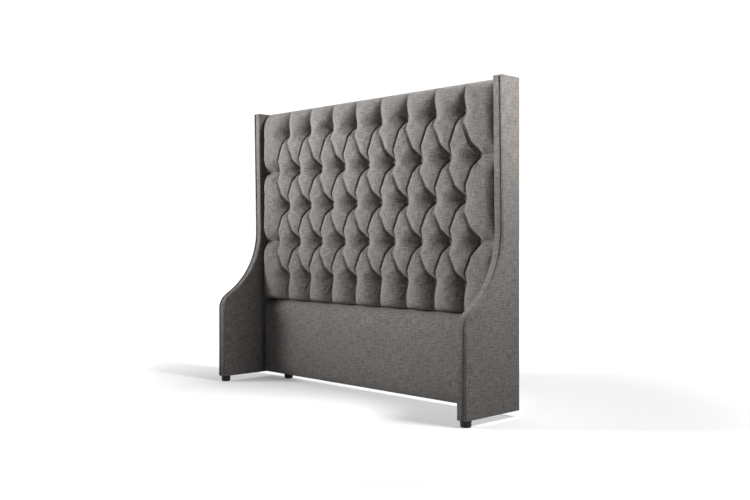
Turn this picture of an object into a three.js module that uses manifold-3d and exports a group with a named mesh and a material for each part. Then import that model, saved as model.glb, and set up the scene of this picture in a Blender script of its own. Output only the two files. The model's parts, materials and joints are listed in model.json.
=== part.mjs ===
// A floor-standing headboard with two wings: a centre panel, diamond-tufted above and smooth below, is
// bolted between two shaped wings, and the whole stands on four small round feet.
// Units are millimetres. +X is to the right for someone facing the headboard, -Y is the front, +Z is up.
// The origin is on the floor, in the middle of the overall width and depth.
import * as THREE from "three";
import { mergeVertices } from "three/addons/utils/BufferGeometryUtils.js";
import Module from "manifold-3d";

const wasm = await Module();
wasm.setup();

// ---- Driving dimensions ----

const CLEARANCE = 0.3; // air between pieces that touch on the real object
const HEIGHT = 1430; // floor to the top of the wings
const DEPTH = 350; // back of the frame to the front of the wings at the floor
const CLEAR_WIDTH = 1602; // between the inner faces of the wings
const FOOT_HEIGHT = 28;
const FOOT_TOP_RADIUS = 24;
const FOOT_SOLE_RADIUS = 22;
const FOOT_EDGE = 4; // rounding at the foot's sole
const FOOT_FROM_WING_FRONT = 30; // front face of the wing to the centre of its foot
const PANEL_FOOT_SPACING = 1330; // between the two feet under the centre panel

// Stock that the headboard is made from
const FABRIC = 1.2;
const LINING = 1;
const TIMBER_DEPTH = 35; // of the centre frame, front to back
const TIMBER_FACE = 45; // of the centre frame, seen from the front
const BOARD = 5; // plywood on the centre frame
const WING_CORE = 22; // timber and plywood ribs inside a wing
const WING_BOARD = 4; // plywood on each side of a wing
const WING_FOAM = 7; // foam on each side of a wing
const EDGE_FOAM = 11; // foam over the front edge of a wing
const WING_RAIL = 60; // height of the rails in a wing
const WING_POST = 38; // depth of a wing's rear post
const RIB_WIDTH = 42; // of the curved rib behind a wing's front edge

// Wing outline: depths are measured from the back of the headboard, heights from the floor
const WING_TOP_DEPTH = 120;
const WAIST_DEPTH = 109;
const WAIST_HEIGHT = 795;
const WAIST_RADIUS = 380;
const SHOULDER_HEIGHT = 385;
const SHOULDER_RADIUS = 85;
const ARC_STEPS = 8;

// Tufting; paddings are measured over the plywood facing
const SEAM_HEIGHT = 426; // floor to the seam between the tufted and the smooth padding
const TUFTS_IN_LONG_ROW = 9; // the rows between have one less
const ROW_COUNT = 5; // the rows at the top and at the bottom are short rows
const TUFT_SIDE_MARGIN = 109; // wing to the nearest tuft of a long row
const LOWEST_ROW_ABOVE_SEAM = 127;
const TOP_ROW_MARGIN = 119; // top edge to the top row
const TOP_ROW_DROP = 14; // the top row's gap to the row below is this much wider than the others
const CREST_PADDING = 68; // at the crown of a tufted pillow
const TUFT_PADDING = 16; // at the bottom of a tuft
const PLEAT_PADDING = 42; // at the bottom of a pleat half way between two tufts
const TOP_EDGE_PADDING = 5; // at the front corner of the panel's top edge
const SIDE_EDGE_PADDING = 38; // where the padding meets the wings
const SEAM_PADDING = 14;
const PILLOW_RISE = 0.4; // share of the tuft pitch from a pleat to a pillow's crown
const TOP_ROLL = 70; // height over which the pillows roll back to the top edge
const SIDE_ROLL = 40;
const SEAM_ROLL = 46;

// Smooth lower padding
const LOWER_CREST_PADDING = 58.1;
const LOWER_SIDE_PADDING = 46;
const LOWER_BOTTOM_PADDING = 32;
const LOWER_ROLL = 60;

// Hardware
const BOLT_RADIUS = 4;
const BOLT_FLANGE_RADIUS = 9;
const BOLT_FLANGE = 2;
const BOLT_HEX_RADIUS = 7.5;
const BOLT_HEX = 6;
const LOWEST_BOLT = 150; // floor to the lowest wing bolt
const TOP_BOLT_MARGIN = 130; // top edge to the highest wing bolt
const INSERT_RADIUS = 6;
const INSERT_BACKING = 4; // timber left behind a threaded insert
const BOLT_TIP_MARGIN = 2; // a bolt's tip stays this far inside its insert
const SCREW_RADIUS = 3;
const SCREW_HEAD_RADIUS = 6;
const SCREW_HEAD = 4;
const SCREW_GRIP = 30; // length of the foot screw in the timber
const FOOT_WEB = 8; // plastic left above the counterbore of a foot
const TWINE_RADIUS = 1.4;
const TWINE_SIDES = 4;
const CLIP_RADIUS = 8; // plate that pulls the cover down at a tuft
const CLIP = 2;
const CLIP_SIDES = 6;
const WELL_RADIUS = 13; // square hole in the foam behind a tuft, half its diagonal
const BOARD_HOLE_RADIUS = 4; // square hole in the board, half its diagonal
const SQUARE_SIDES = 4;
const ROUND_SIDES = 16;
const HOLE_SIDES = 12;
const HEX_SIDES = 6;
const FOOT_SIDES = 20;
const TWINE_BEHIND_BOARD = 3; // back of the board to the middle of the twine
const STUD_NOTCH = 7; // depth and height of the notch where twine passes a stud

// ---- Derived places ----

const BACK = DEPTH / 2; // y of the back of the headboard
const PANEL_HALF = CLEAR_WIDTH / 2 - CLEARANCE; // half width of the centre panel over its cover
const PANEL_BOTTOM = FOOT_HEIGHT + CLEARANCE;
const FRAME_HALF = PANEL_HALF - FABRIC - CLEARANCE;
const FRAME_TOP = HEIGHT - FABRIC - CLEARANCE;
const FRAME_BOTTOM = PANEL_BOTTOM + FABRIC + CLEARANCE;
const FRAME_BACK = LINING + CLEARANCE; // depths from the back of the headboard
const FRAME_FRONT = FRAME_BACK + TIMBER_DEPTH;
const BOARD_BACK = FRAME_FRONT + CLEARANCE;
const BOARD_FRONT = BOARD_BACK + BOARD;
const FOAM_BACK = BOARD_FRONT + CLEARANCE;
const CREST_DEPTH = FOAM_BACK + CREST_PADDING;
const TUFT_DEPTH = FOAM_BACK + TUFT_PADDING;
const PLEAT_DEPTH = FOAM_BACK + PLEAT_PADDING;
const TUFT_PITCH = (CLEAR_WIDTH - 2 * TUFT_SIDE_MARGIN) / (TUFTS_IN_LONG_ROW - 1);
const LOWEST_ROW = SEAM_HEIGHT + LOWEST_ROW_ABOVE_SEAM;
const TOP_ROW = HEIGHT - TOP_ROW_MARGIN;
const ROW_PITCH = (TOP_ROW - TOP_ROW_DROP - LOWEST_ROW) / (ROW_COUNT - 1);
const TWINE_DEPTH = BOARD_BACK - TWINE_BEHIND_BOARD;

const WING_SKIN = FABRIC + CLEARANCE;
const WING_THICKNESS = 2 * (WING_SKIN + WING_FOAM + CLEARANCE + WING_BOARD + CLEARANCE) + WING_CORE;
const WING_INNER = CLEAR_WIDTH / 2; // x of the wing's inner face on the right side
const WING_OUTER = WING_INNER + WING_THICKNESS;
const INNER_FOAM_X = WING_INNER + WING_SKIN;
const INNER_BOARD_X = INNER_FOAM_X + WING_FOAM + CLEARANCE;
const CORE_X = INNER_BOARD_X + WING_BOARD + CLEARANCE;
const OUTER_BOARD_X = CORE_X + WING_CORE + CLEARANCE;
const OUTER_FOAM_X = OUTER_BOARD_X + WING_BOARD + CLEARANCE;
const BOARD_INSET = WING_SKIN + EDGE_FOAM + CLEARANCE; // from the wing's finished outline to its boards
const WING_BACK = WING_SKIN;
const WING_BOTTOM = PANEL_BOTTOM;
const BOLT_DEPTH = FRAME_BACK + TIMBER_DEPTH / 2;
const TOP_BOLT = HEIGHT - TOP_BOLT_MARGIN;
const BOLT_HEIGHTS = [LOWEST_BOLT, (LOWEST_BOLT + TOP_BOLT) / 2, TOP_BOLT];
const INSERT_LENGTH = WING_CORE - INSERT_BACKING;

// ---- Materials ----

function material(color, roughness, metalness = 0) {
  return new THREE.MeshStandardMaterial({ color, roughness, metalness });
}
const grey_fabric = material(0x6f6b69, 0.9);
const lining_fabric = material(0x232323, 0.95);
const foam = material(0xd9cfa8, 1);
const timber = material(0xc9a878, 0.7);
const plywood = material(0xd6b98c, 0.65);
const black_plastic = material(0x101010, 0.45);
const zinc = material(0xb9bcc0, 0.35, 1);
const twine = material(0xe6e1d3, 0.9);

// ---- Solids ----

// A closed three.js geometry as a manifold-3d solid.
function solid(geometry) {
  const bare = geometry.index ? geometry.toNonIndexed() : geometry.clone();
  bare.deleteAttribute("normal");
  bare.deleteAttribute("uv");
  const merged = mergeVertices(bare, 1e-4);
  return new wasm.Manifold(
    new wasm.Mesh({
      numProp: 3,
      vertProperties: merged.attributes.position.array,
      triVerts: new Uint32Array(merged.index.array),
    }),
  );
}

function geometryOf(made) {
  const mesh = made.getMesh();
  return new THREE.BufferGeometry()
    .setAttribute("position", new THREE.BufferAttribute(mesh.vertProperties, 3))
    .setIndex(new THREE.BufferAttribute(mesh.triVerts, 1));
}

// A box given by its x range, its range of depth from the back of the headboard and its z range.
function boxOf([x0, x1], [d0, d1], [z0, z1]) {
  return new THREE.BoxGeometry(x1 - x0, d1 - d0, z1 - z0).translate(
    (x0 + x1) / 2,
    BACK - (d0 + d1) / 2,
    (z0 + z1) / 2,
  );
}

// An outline drawn in depth from the back and height, extruded along x between x0 and x1.
function plateOf(outline, x0, x1) {
  const geometry = new THREE.ExtrudeGeometry(outline, {
    depth: x1 - x0,
    bevelEnabled: false,
    curveSegments: ARC_STEPS,
  });
  const to_front = new THREE.Vector3(0, -1, 0);
  const up = new THREE.Vector3(0, 0, 1);
  const to_left = new THREE.Vector3(-1, 0, 0);
  const turn = new THREE.Matrix4().makeBasis(to_front, up, to_left);
  return geometry.applyMatrix4(turn).translate(x1, BACK, 0);
}

function cylinderAlongX(radius, x0, x1, depth, z, sides) {
  return new THREE.CylinderGeometry(radius, radius, x1 - x0, sides)
    .rotateZ(Math.PI / 2)
    .translate((x0 + x1) / 2, BACK - depth, z);
}

function cylinderAlongDepth(radius, x, d0, d1, z, sides) {
  return new THREE.CylinderGeometry(radius, radius, d1 - d0, sides).translate(x, BACK - (d0 + d1) / 2, z);
}

function cylinderAlongZ(radius, x, depth, z0, z1, sides) {
  return new THREE.CylinderGeometry(radius, radius, z1 - z0, sides)
    .rotateX(Math.PI / 2)
    .translate(x, BACK - depth, (z0 + z1) / 2);
}

// ---- Wing outline ----

// The side view of a wing, inset by the same distance all round: straight up from the floor, round the
// shoulder, back along a slope, round the hollow at the waist and up to the top with a slight flare.
// The slope is the line that touches both the shoulder circle and the waist circle.
function wingOutline(inset, back = inset) {
  const shoulder = new THREE.Vector2(DEPTH - SHOULDER_RADIUS, SHOULDER_HEIGHT);
  const waist = new THREE.Vector2(WAIST_DEPTH + WAIST_RADIUS, WAIST_HEIGHT);
  const between = waist.clone().sub(shoulder);
  const slope = between.angle() - Math.acos((SHOULDER_RADIUS + WAIST_RADIUS) / between.length());
  const bottom = WING_BOTTOM + inset;
  const outline = new THREE.Shape();
  outline.moveTo(back, bottom);
  outline.lineTo(DEPTH - inset, bottom);
  outline.absarc(shoulder.x, shoulder.y, SHOULDER_RADIUS - inset, 0, slope, false);
  outline.absarc(waist.x, waist.y, WAIST_RADIUS + inset, Math.PI + slope, Math.PI, true);
  outline.lineTo(WING_TOP_DEPTH - inset, HEIGHT - inset);
  outline.lineTo(back, HEIGHT - inset);
  return outline;
}

// ---- Padding surfaces ----

const smooth = (t) => t * t * (3 - 2 * t);
const clamp01 = (t) => Math.min(1, Math.max(0, t));

function tuftRow(row) {
  const long = row % 2 === 1;
  const count = long ? TUFTS_IN_LONG_ROW : TUFTS_IN_LONG_ROW - 1;
  const z = row === ROW_COUNT - 1 ? TOP_ROW : LOWEST_ROW + row * ROW_PITCH;
  return Array.from({ length: count }, (_, i) => new THREE.Vector2((i - (count - 1) / 2) * TUFT_PITCH, z));
}
const tuft_rows = Array.from({ length: ROW_COUNT }, (_, row) => tuftRow(row));

// Every pleat as a line from a tuft to a tuft, or from a tuft to the edge of the panel.
function pleatLines() {
  const lines = [];
  tuft_rows.forEach((row, r) => {
    const above = tuft_rows[r + 1] || [];
    for (const a of row) {
      for (const b of above) {
        if (Math.abs(a.x - b.x) < TUFT_PITCH) lines.push({ a, b, open: false });
      }
    }
    const edges = [
      [r === 0, (t) => new THREE.Vector2(t.x, SEAM_HEIGHT), row],
      [r === ROW_COUNT - 1, (t) => new THREE.Vector2(t.x, HEIGHT), row],
      [r % 2 === 1, () => new THREE.Vector2(-PANEL_HALF, row[0].y), [row[0]]],
      [r % 2 === 1, () => new THREE.Vector2(PANEL_HALF, row[0].y), [row[row.length - 1]]],
    ];
    for (const [wanted, end, from] of edges) {
      if (wanted) from.forEach((a) => lines.push({ a, b: end(a), open: true }));
    }
  });
  return lines;
}
const pleats = pleatLines();

// Depth of the tufted surface from the back of the headboard, before it rolls back to the edges. A pleat is
// deepest at its tufts, and each pillow rises from the nearest pleat along a quarter of an ellipse.
function pillowDepth(x, z) {
  let nearest = Infinity;
  let floor = CREST_DEPTH;
  for (const { a, b, open } of pleats) {
    const along = b.clone().sub(a);
    const t = clamp01(((x - a.x) * along.x + (z - a.y) * along.y) / along.lengthSq());
    const distance = Math.hypot(x - a.x - along.x * t, z - a.y - along.y * t);
    if (distance < nearest) {
      nearest = distance;
      const share = open ? t : 2 * Math.min(t, 1 - t);
      floor = TUFT_DEPTH + (PLEAT_DEPTH - TUFT_DEPTH) * smooth(share);
    }
  }
  const rise = clamp01(nearest / (TUFT_PITCH * PILLOW_RISE));
  return floor + (CREST_DEPTH - floor) * Math.sqrt(1 - (1 - rise) ** 2);
}

// Pulls a surface back to the padding that it has at an edge, along a quarter of an ellipse `roll` wide.
function rolled(depth, edge_padding, from_edge, roll) {
  const t = 1 - clamp01(from_edge / roll);
  const edge = Math.min(depth, FOAM_BACK + edge_padding);
  return edge + (depth - edge) * Math.sqrt(1 - t * t);
}

function tuftedDepth(x, z) {
  let depth = pillowDepth(x, z);
  depth = rolled(depth, SIDE_EDGE_PADDING, PANEL_HALF - Math.abs(x), SIDE_ROLL);
  depth = rolled(depth, TOP_EDGE_PADDING, HEIGHT - z, TOP_ROLL);
  return rolled(depth, SEAM_PADDING, z - SEAM_HEIGHT, SEAM_ROLL);
}

function lowerDepth(x, z) {
  let depth = FOAM_BACK + LOWER_CREST_PADDING;
  depth = rolled(depth, LOWER_SIDE_PADDING, PANEL_HALF - Math.abs(x), LOWER_ROLL);
  depth = rolled(depth, SEAM_PADDING, SEAM_HEIGHT - z, LOWER_ROLL);
  return rolled(depth, LOWER_BOTTOM_PADDING, z - PANEL_BOTTOM, LOWER_ROLL);
}

// A block whose front face follows a depth function over a grid of x and z values, moved back by `under`.
function paddedBlock(xs, zs, depthAt, under, back) {
  const columns = xs.length;
  const rows = zs.length;
  const position = [];
  for (const front of [true, false]) {
    for (const z of zs) {
      for (const x of xs) {
        position.push(x, BACK - (front ? depthAt(x, z) - under : back), z);
      }
    }
  }
  const index = [];
  const depthOf = (vertex) => BACK - position[3 * vertex + 1];
  const at = (i, j, side) => side * columns * rows + j * columns + i;
  // A quad is folded along its deeper diagonal, so that the folds run along the pleats.
  const quad = (a, b, c, d) => {
    const fold_ac = depthOf(a) + depthOf(c) <= depthOf(b) + depthOf(d);
    index.push(...(fold_ac ? [a, b, c, a, c, d] : [b, c, d, b, d, a]));
  };
  for (let j = 0; j < rows - 1; j++) {
    for (let i = 0; i < columns - 1; i++) {
      quad(at(i, j, 0), at(i + 1, j, 0), at(i + 1, j + 1, 0), at(i, j + 1, 0));
      quad(at(i, j, 1), at(i, j + 1, 1), at(i + 1, j + 1, 1), at(i + 1, j, 1));
    }
  }
  for (let i = 0; i < columns - 1; i++) {
    quad(at(i, 0, 1), at(i + 1, 0, 1), at(i + 1, 0, 0), at(i, 0, 0));
    quad(at(i, rows - 1, 0), at(i + 1, rows - 1, 0), at(i + 1, rows - 1, 1), at(i, rows - 1, 1));
  }
  for (let j = 0; j < rows - 1; j++) {
    quad(at(0, j, 1), at(0, j, 0), at(0, j + 1, 0), at(0, j + 1, 1));
    quad(at(columns - 1, j, 0), at(columns - 1, j, 1), at(columns - 1, j + 1, 1), at(columns - 1, j + 1, 0));
  }
  return new THREE.BufferGeometry()
    .setAttribute("position", new THREE.Float32BufferAttribute(position, 3))
    .setIndex(index);
}

// The grid has a column at every quarter pitch and a row at every tuft and half way between two rows of
// tufts, and it is finer where the padding rolls back at its edges.
const ROLL_STEPS = [0, 0.25, 1];
const quarter_pitches = 2 * (TUFTS_IN_LONG_ROW - 1);
const tuft_xs = [
  ...ROLL_STEPS.map((t) => -PANEL_HALF + t * SIDE_ROLL),
  ...Array.from({ length: 2 * quarter_pitches + 1 }, (_, i) => ((i - quarter_pitches) * TUFT_PITCH) / 4),
  ...ROLL_STEPS.map((t) => PANEL_HALF - t * SIDE_ROLL).reverse(),
];
const tufted_bottom = SEAM_HEIGHT + CLEARANCE / 2;
const tuft_row_zs = tuft_rows.map((row) => row[0].y);
const tuft_zs = [
  ...ROLL_STEPS.map((t) => tufted_bottom + t * SEAM_ROLL),
  ...tuft_row_zs.flatMap((z, row) => (row === 0 ? [z] : [(z + tuft_row_zs[row - 1]) / 2, z])),
  ...ROLL_STEPS.map((t) => HEIGHT - t * TOP_ROLL).reverse(),
];
const lower_xs = [
  ...ROLL_STEPS.map((t) => -PANEL_HALF + t * LOWER_ROLL),
  ...ROLL_STEPS.map((t) => PANEL_HALF - t * LOWER_ROLL).reverse(),
];
const lower_top = SEAM_HEIGHT - CLEARANCE / 2;
const lower_zs = [
  ...ROLL_STEPS.map((t) => PANEL_BOTTOM + t * LOWER_ROLL),
  ...ROLL_STEPS.map((t) => lower_top - t * LOWER_ROLL).reverse(),
];

// ---- Centre panel ----

// Round holes along x for the wing bolts, in a piece on the given side (-1 left, +1 right).
function boltHoles(piece, side, x0, x1, radius) {
  return BOLT_HEIGHTS.reduce((rest, z) => {
    const [low, high] = side > 0 ? [x0, x1] : [-x1, -x0];
    return rest.subtract(solid(cylinderAlongX(radius, low, high, BOLT_DEPTH, z, HOLE_SIDES)));
  }, piece);
}

function stile(side) {
  const inner = side * (FRAME_HALF - TIMBER_FACE);
  const outer = side * FRAME_HALF;
  const x = [Math.min(inner, outer), Math.max(inner, outer)];
  const block = solid(boxOf(x, [FRAME_BACK, FRAME_FRONT], [FRAME_BOTTOM, FRAME_TOP]));
  const reach = [FRAME_HALF - TIMBER_FACE - 1, FRAME_HALF + 1];
  return boltHoles(block, side, ...reach, BOLT_RADIUS + CLEARANCE);
}

// x range between the stiles
const rail_x = [-1, 1].map((side) => side * (FRAME_HALF - TIMBER_FACE - CLEARANCE));
const seam_rail_z = [SEAM_HEIGHT - TIMBER_FACE / 2, SEAM_HEIGHT + TIMBER_FACE / 2];

function rail(z) {
  return solid(boxOf(rail_x, [FRAME_BACK, FRAME_FRONT], z));
}

// Round holes for the screws of the two feet under the centre panel.
function panelFootHoles(piece) {
  const top = FRAME_BOTTOM + SCREW_GRIP + CLEARANCE;
  return [-1, 1].reduce((rest, side) => {
    const x = (side * PANEL_FOOT_SPACING) / 2;
    return rest.subtract(
      solid(cylinderAlongZ(SCREW_RADIUS + CLEARANCE, x, panel_foot_depth, FOOT_HEIGHT - 1, top, HOLE_SIDES)),
    );
  }, piece);
}

// Upright between the seam rail and the top rail, notched on its front face where the tufting twine passes.
function stud(x) {
  const z0 = seam_rail_z[1] + CLEARANCE;
  const z1 = FRAME_TOP - TIMBER_FACE - CLEARANCE;
  const outline = new THREE.Shape();
  outline.moveTo(FRAME_BACK, z0);
  outline.lineTo(FRAME_FRONT, z0);
  for (const [{ y }] of tuft_rows) {
    outline.lineTo(FRAME_FRONT, y - STUD_NOTCH / 2);
    outline.lineTo(FRAME_FRONT - STUD_NOTCH, y - STUD_NOTCH / 2);
    outline.lineTo(FRAME_FRONT - STUD_NOTCH, y + STUD_NOTCH / 2);
    outline.lineTo(FRAME_FRONT, y + STUD_NOTCH / 2);
  }
  outline.lineTo(FRAME_FRONT, z1);
  outline.lineTo(FRAME_BACK, z1);
  return plateOf(outline, x - TIMBER_FACE / 2, x + TIMBER_FACE / 2);
}

// Plywood facing; the holes let the tufting twine through.
function panelBoard(z, tufts) {
  const block = solid(boxOf([-FRAME_HALF, FRAME_HALF], [BOARD_BACK, BOARD_FRONT], z));
  return tufts.reduce(
    (rest, { x, y }) =>
      rest.subtract(
        solid(cylinderAlongDepth(BOARD_HOLE_RADIUS, x, BOARD_BACK - 1, BOARD_FRONT + 1, y, SQUARE_SIDES)),
      ),
    block,
  );
}

const all_tufts = tuft_rows.flat();
const foam_half = PANEL_HALF - FABRIC - CLEARANCE;

function tuftedFoam() {
  const block = solid(paddedBlock(tuft_xs, tuft_zs, tuftedDepth, FABRIC + CLEARANCE, FOAM_BACK));
  const trim = boxOf(
    [-foam_half, foam_half],
    [0, DEPTH],
    [tuft_zs[0] + FABRIC + CLEARANCE, HEIGHT - FABRIC - CLEARANCE],
  );
  return all_tufts.reduce(
    (rest, { x, y }) =>
      rest.subtract(solid(cylinderAlongDepth(WELL_RADIUS, x, FOAM_BACK - 1, CREST_DEPTH, y, SQUARE_SIDES))),
    block.intersect(solid(trim)),
  );
}

function lowerFoam() {
  const block = solid(paddedBlock(lower_xs, lower_zs, lowerDepth, FABRIC + CLEARANCE, FOAM_BACK));
  const trim = boxOf(
    [-foam_half, foam_half],
    [0, DEPTH],
    [PANEL_BOTTOM + FABRIC + CLEARANCE, lower_top - FABRIC - CLEARANCE],
  );
  return block.intersect(solid(trim));
}

// A cover is a skin over the front of its padding and round the frame, open at the back. At the seam it only
// reaches back to the board.
function panelCover(xs, zs, depthAt, seam_z, free_z) {
  const shell = solid(paddedBlock(xs, zs, depthAt, 0, FRAME_BACK));
  const hollow = solid(paddedBlock(xs, zs, depthAt, FABRIC, FRAME_BACK - 1));
  const seam_in = seam_z + Math.sign(free_z - seam_z) * FABRIC;
  const free_in = free_z - Math.sign(free_z - seam_z) * FABRIC;
  const inner_z = [Math.min(seam_in, free_in), Math.max(seam_in, free_in)];
  const trim = boxOf([FABRIC - PANEL_HALF, PANEL_HALF - FABRIC], [-1, DEPTH], inner_z);
  const behind_z = [seam_z, seam_in].sort((a, b) => a - b);
  const behind_board = boxOf(
    [-PANEL_HALF - 1, PANEL_HALF + 1],
    [-1, FOAM_BACK],
    [behind_z[0] - 1, behind_z[1] + TIMBER_FACE / 4],
  );
  const cover = shell.subtract(hollow.intersect(solid(trim))).subtract(solid(behind_board));
  return [-1, 1].reduce(
    (rest, side) =>
      boltHoles(rest, side, PANEL_HALF - FABRIC - 1, PANEL_HALF + 1, BOLT_RADIUS + CLEARANCE),
    cover,
  );
}

// Twine behind the board from end to end of a row, with a leg and a clip at each tuft.
function twineRow(tufts) {
  const z = tufts[0].y;
  const last = tufts[tufts.length - 1];
  const run = cylinderAlongX(TWINE_RADIUS, tufts[0].x, last.x, TWINE_DEPTH, z, TWINE_SIDES);
  const clip_front = TUFT_DEPTH - FABRIC - CLEARANCE;
  return tufts.reduce((rest, { x }) => {
    const leg = cylinderAlongDepth(TWINE_RADIUS, x, TWINE_DEPTH, clip_front - CLIP / 2, z, TWINE_SIDES);
    const clip = cylinderAlongDepth(CLIP_RADIUS, x, clip_front - CLIP, clip_front, z, CLIP_SIDES);
    return rest.add(solid(leg)).add(solid(clip));
  }, solid(run));
}

function backLining() {
  const half = PANEL_HALF - FABRIC - CLEARANCE;
  return boxOf([-half, half], [0, LINING], [FRAME_BOTTOM, FRAME_TOP]);
}

// ---- Wings, drawn on the right side; the left one is the mirror image ----

// Deepest point that a piece behind the rib can reach at a height in the straight lower part.
const rib_back_low = DEPTH - BOARD_INSET - RIB_WIDTH;
const core_x = [CORE_X, CORE_X + WING_CORE];
const wing_low = WING_BOTTOM + BOARD_INSET;
const wing_high = HEIGHT - BOARD_INSET;
const rail_top = wing_low + WING_RAIL;
const top_rail_low = wing_high - WING_RAIL;
const post_z = [rail_top + CLEARANCE, top_rail_low - CLEARANCE];

function rearPost() {
  const block = solid(boxOf(core_x, [WING_BACK, WING_BACK + WING_POST], post_z));
  return boltHoles(block, 1, CORE_X - 1, CORE_X + INSERT_LENGTH + CLEARANCE, INSERT_RADIUS + CLEARANCE);
}

// Curved rib: the strip of the outline between two insets, cut off at the rails.
function frontRib() {
  const outer = solid(plateOf(wingOutline(BOARD_INSET), ...core_x));
  const inner = solid(plateOf(wingOutline(BOARD_INSET + RIB_WIDTH, -1), core_x[0] - 1, core_x[1] + 1));
  const ends = boxOf([core_x[0] - 1, core_x[1] + 1], [WING_BACK + WING_POST + CLEARANCE, DEPTH], post_z);
  return outer.intersect(solid(ends)).subtract(inner);
}

function wingBottomRail() {
  const block = solid(boxOf(core_x, [WING_BACK, DEPTH - BOARD_INSET], [wing_low, rail_top]));
  return block.subtract(
    solid(
      cylinderAlongZ(
        SCREW_RADIUS + CLEARANCE,
        wing_foot_x,
        wing_foot_depth,
        wing_low - 1,
        wing_low + SCREW_GRIP + CLEARANCE,
        HOLE_SIDES,
      ),
    ),
  );
}

function wingShoulderRail() {
  const x = [WING_BACK + WING_POST + CLEARANCE, rib_back_low - CLEARANCE];
  return boxOf(core_x, x, [SHOULDER_HEIGHT - WING_RAIL, SHOULDER_HEIGHT]);
}

function wingTopRail() {
  const block = solid(plateOf(wingOutline(BOARD_INSET, WING_BACK), ...core_x));
  const cut = boxOf([core_x[0] - 1, core_x[1] + 1], [0, DEPTH], [top_rail_low, HEIGHT]);
  return block.intersect(solid(cut));
}

function wingBoard(x0) {
  return solid(plateOf(wingOutline(BOARD_INSET, WING_BACK), x0, x0 + WING_BOARD));
}

function wingInnerFoam() {
  const sheet = solid(plateOf(wingOutline(WING_SKIN), INNER_FOAM_X, INNER_FOAM_X + WING_FOAM));
  return boltHoles(sheet, 1, INNER_FOAM_X - 1, INNER_BOARD_X, BOLT_RADIUS + CLEARANCE);
}

// A sheet on the outer side that wraps round the front, top and bottom edges as far as the inner foam.
function wingOuterFoam() {
  const inner_x = INNER_FOAM_X + WING_FOAM + CLEARANCE;
  const outer_x = OUTER_FOAM_X + WING_FOAM;
  const block = solid(plateOf(wingOutline(WING_SKIN), inner_x, outer_x));
  const room = plateOf(wingOutline(WING_SKIN + EDGE_FOAM, -1), inner_x - 1, OUTER_FOAM_X);
  return footHole(block.subtract(solid(room)));
}

function footHole(piece) {
  const hole_radius = SCREW_RADIUS + CLEARANCE;
  const hole = cylinderAlongZ(hole_radius, wing_foot_x, wing_foot_depth, 0, wing_low + 1, HOLE_SIDES);
  return piece.subtract(solid(hole));
}

// Sewn cover of a wing: inner side, front border and outer side, closed at the back.
function wingCover() {
  const shell = solid(plateOf(wingOutline(0), WING_INNER, WING_OUTER));
  const hollow = solid(plateOf(wingOutline(FABRIC), WING_INNER + FABRIC, WING_OUTER - FABRIC));
  const sewn = shell.subtract(hollow);
  const drilled = boltHoles(sewn, 1, WING_INNER - 1, WING_INNER + FABRIC + 1, BOLT_RADIUS + CLEARANCE);
  return footHole(drilled);
}

// ---- Hardware ----

const panel_foot_depth = FOOT_TOP_RADIUS + CLEARANCE;
const wing_foot_depth = DEPTH - FOOT_FROM_WING_FRONT;
const wing_foot_x = (WING_INNER + WING_OUTER) / 2;

// Round plastic foot with a counterbored hole for its screw, turned about z.
function foot() {
  const web_bottom = FOOT_HEIGHT - FOOT_WEB;
  const profile = [
    [SCREW_RADIUS + CLEARANCE, web_bottom],
    [SCREW_HEAD_RADIUS + 1, web_bottom],
    [SCREW_HEAD_RADIUS + 1, 0],
    [FOOT_SOLE_RADIUS - FOOT_EDGE, 0],
    [FOOT_SOLE_RADIUS - FOOT_EDGE * 0.3, FOOT_EDGE * 0.3],
    [FOOT_SOLE_RADIUS, FOOT_EDGE],
    [FOOT_TOP_RADIUS, FOOT_HEIGHT],
    [SCREW_RADIUS + CLEARANCE, FOOT_HEIGHT],
    [SCREW_RADIUS + CLEARANCE, web_bottom],
  ];
  const points = profile.map(([r, z]) => new THREE.Vector2(r, z));
  return new THREE.LatheGeometry(points, FOOT_SIDES).rotateX(Math.PI / 2);
}

// Pan-head screw that holds a foot; its shank ends SCREW_GRIP above the underside of the timber.
function footScrew(timber_z) {
  const head_z = FOOT_HEIGHT - FOOT_WEB - CLEARANCE;
  const head = cylinderAlongZ(SCREW_HEAD_RADIUS, 0, BACK, head_z - SCREW_HEAD, head_z, HOLE_SIDES);
  const shank = cylinderAlongZ(SCREW_RADIUS, 0, BACK, head_z - 1, timber_z + SCREW_GRIP, HOLE_SIDES);
  return solid(head).add(solid(shank));
}

// Flange bolt from inside the centre frame into the wing, drawn for the right side.
function wingBolt(z) {
  const under_head = FRAME_HALF - TIMBER_FACE - CLEARANCE;
  const tip = CORE_X + INSERT_LENGTH - BOLT_TIP_MARGIN;
  const flange_x = under_head - BOLT_FLANGE;
  const parts = [
    cylinderAlongX(BOLT_FLANGE_RADIUS, flange_x, under_head, BOLT_DEPTH, z, ROUND_SIDES),
    cylinderAlongX(BOLT_HEX_RADIUS, flange_x - BOLT_HEX, flange_x + 1, BOLT_DEPTH, z, HEX_SIDES),
    cylinderAlongX(BOLT_RADIUS, under_head - 1, tip, BOLT_DEPTH, z, HOLE_SIDES),
  ];
  return parts.map(solid).reduce((all, part) => all.add(part));
}

function threadedInsert(z) {
  const end = CORE_X + INSERT_LENGTH;
  const body = solid(cylinderAlongX(INSERT_RADIUS, CORE_X, end, BOLT_DEPTH, z, ROUND_SIDES));
  const bore = cylinderAlongX(BOLT_RADIUS + CLEARANCE, CORE_X - 1, end + 1, BOLT_DEPTH, z, HOLE_SIDES);
  return body.subtract(solid(bore));
}

// ---- Assembly ----

const headboard = new THREE.Group();

function add(name, shape, look, parent = headboard) {
  const mesh = new THREE.Mesh(shape.isBufferGeometry ? shape : geometryOf(shape), look);
  mesh.name = name;
  parent.add(mesh);
  return mesh;
}

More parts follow.
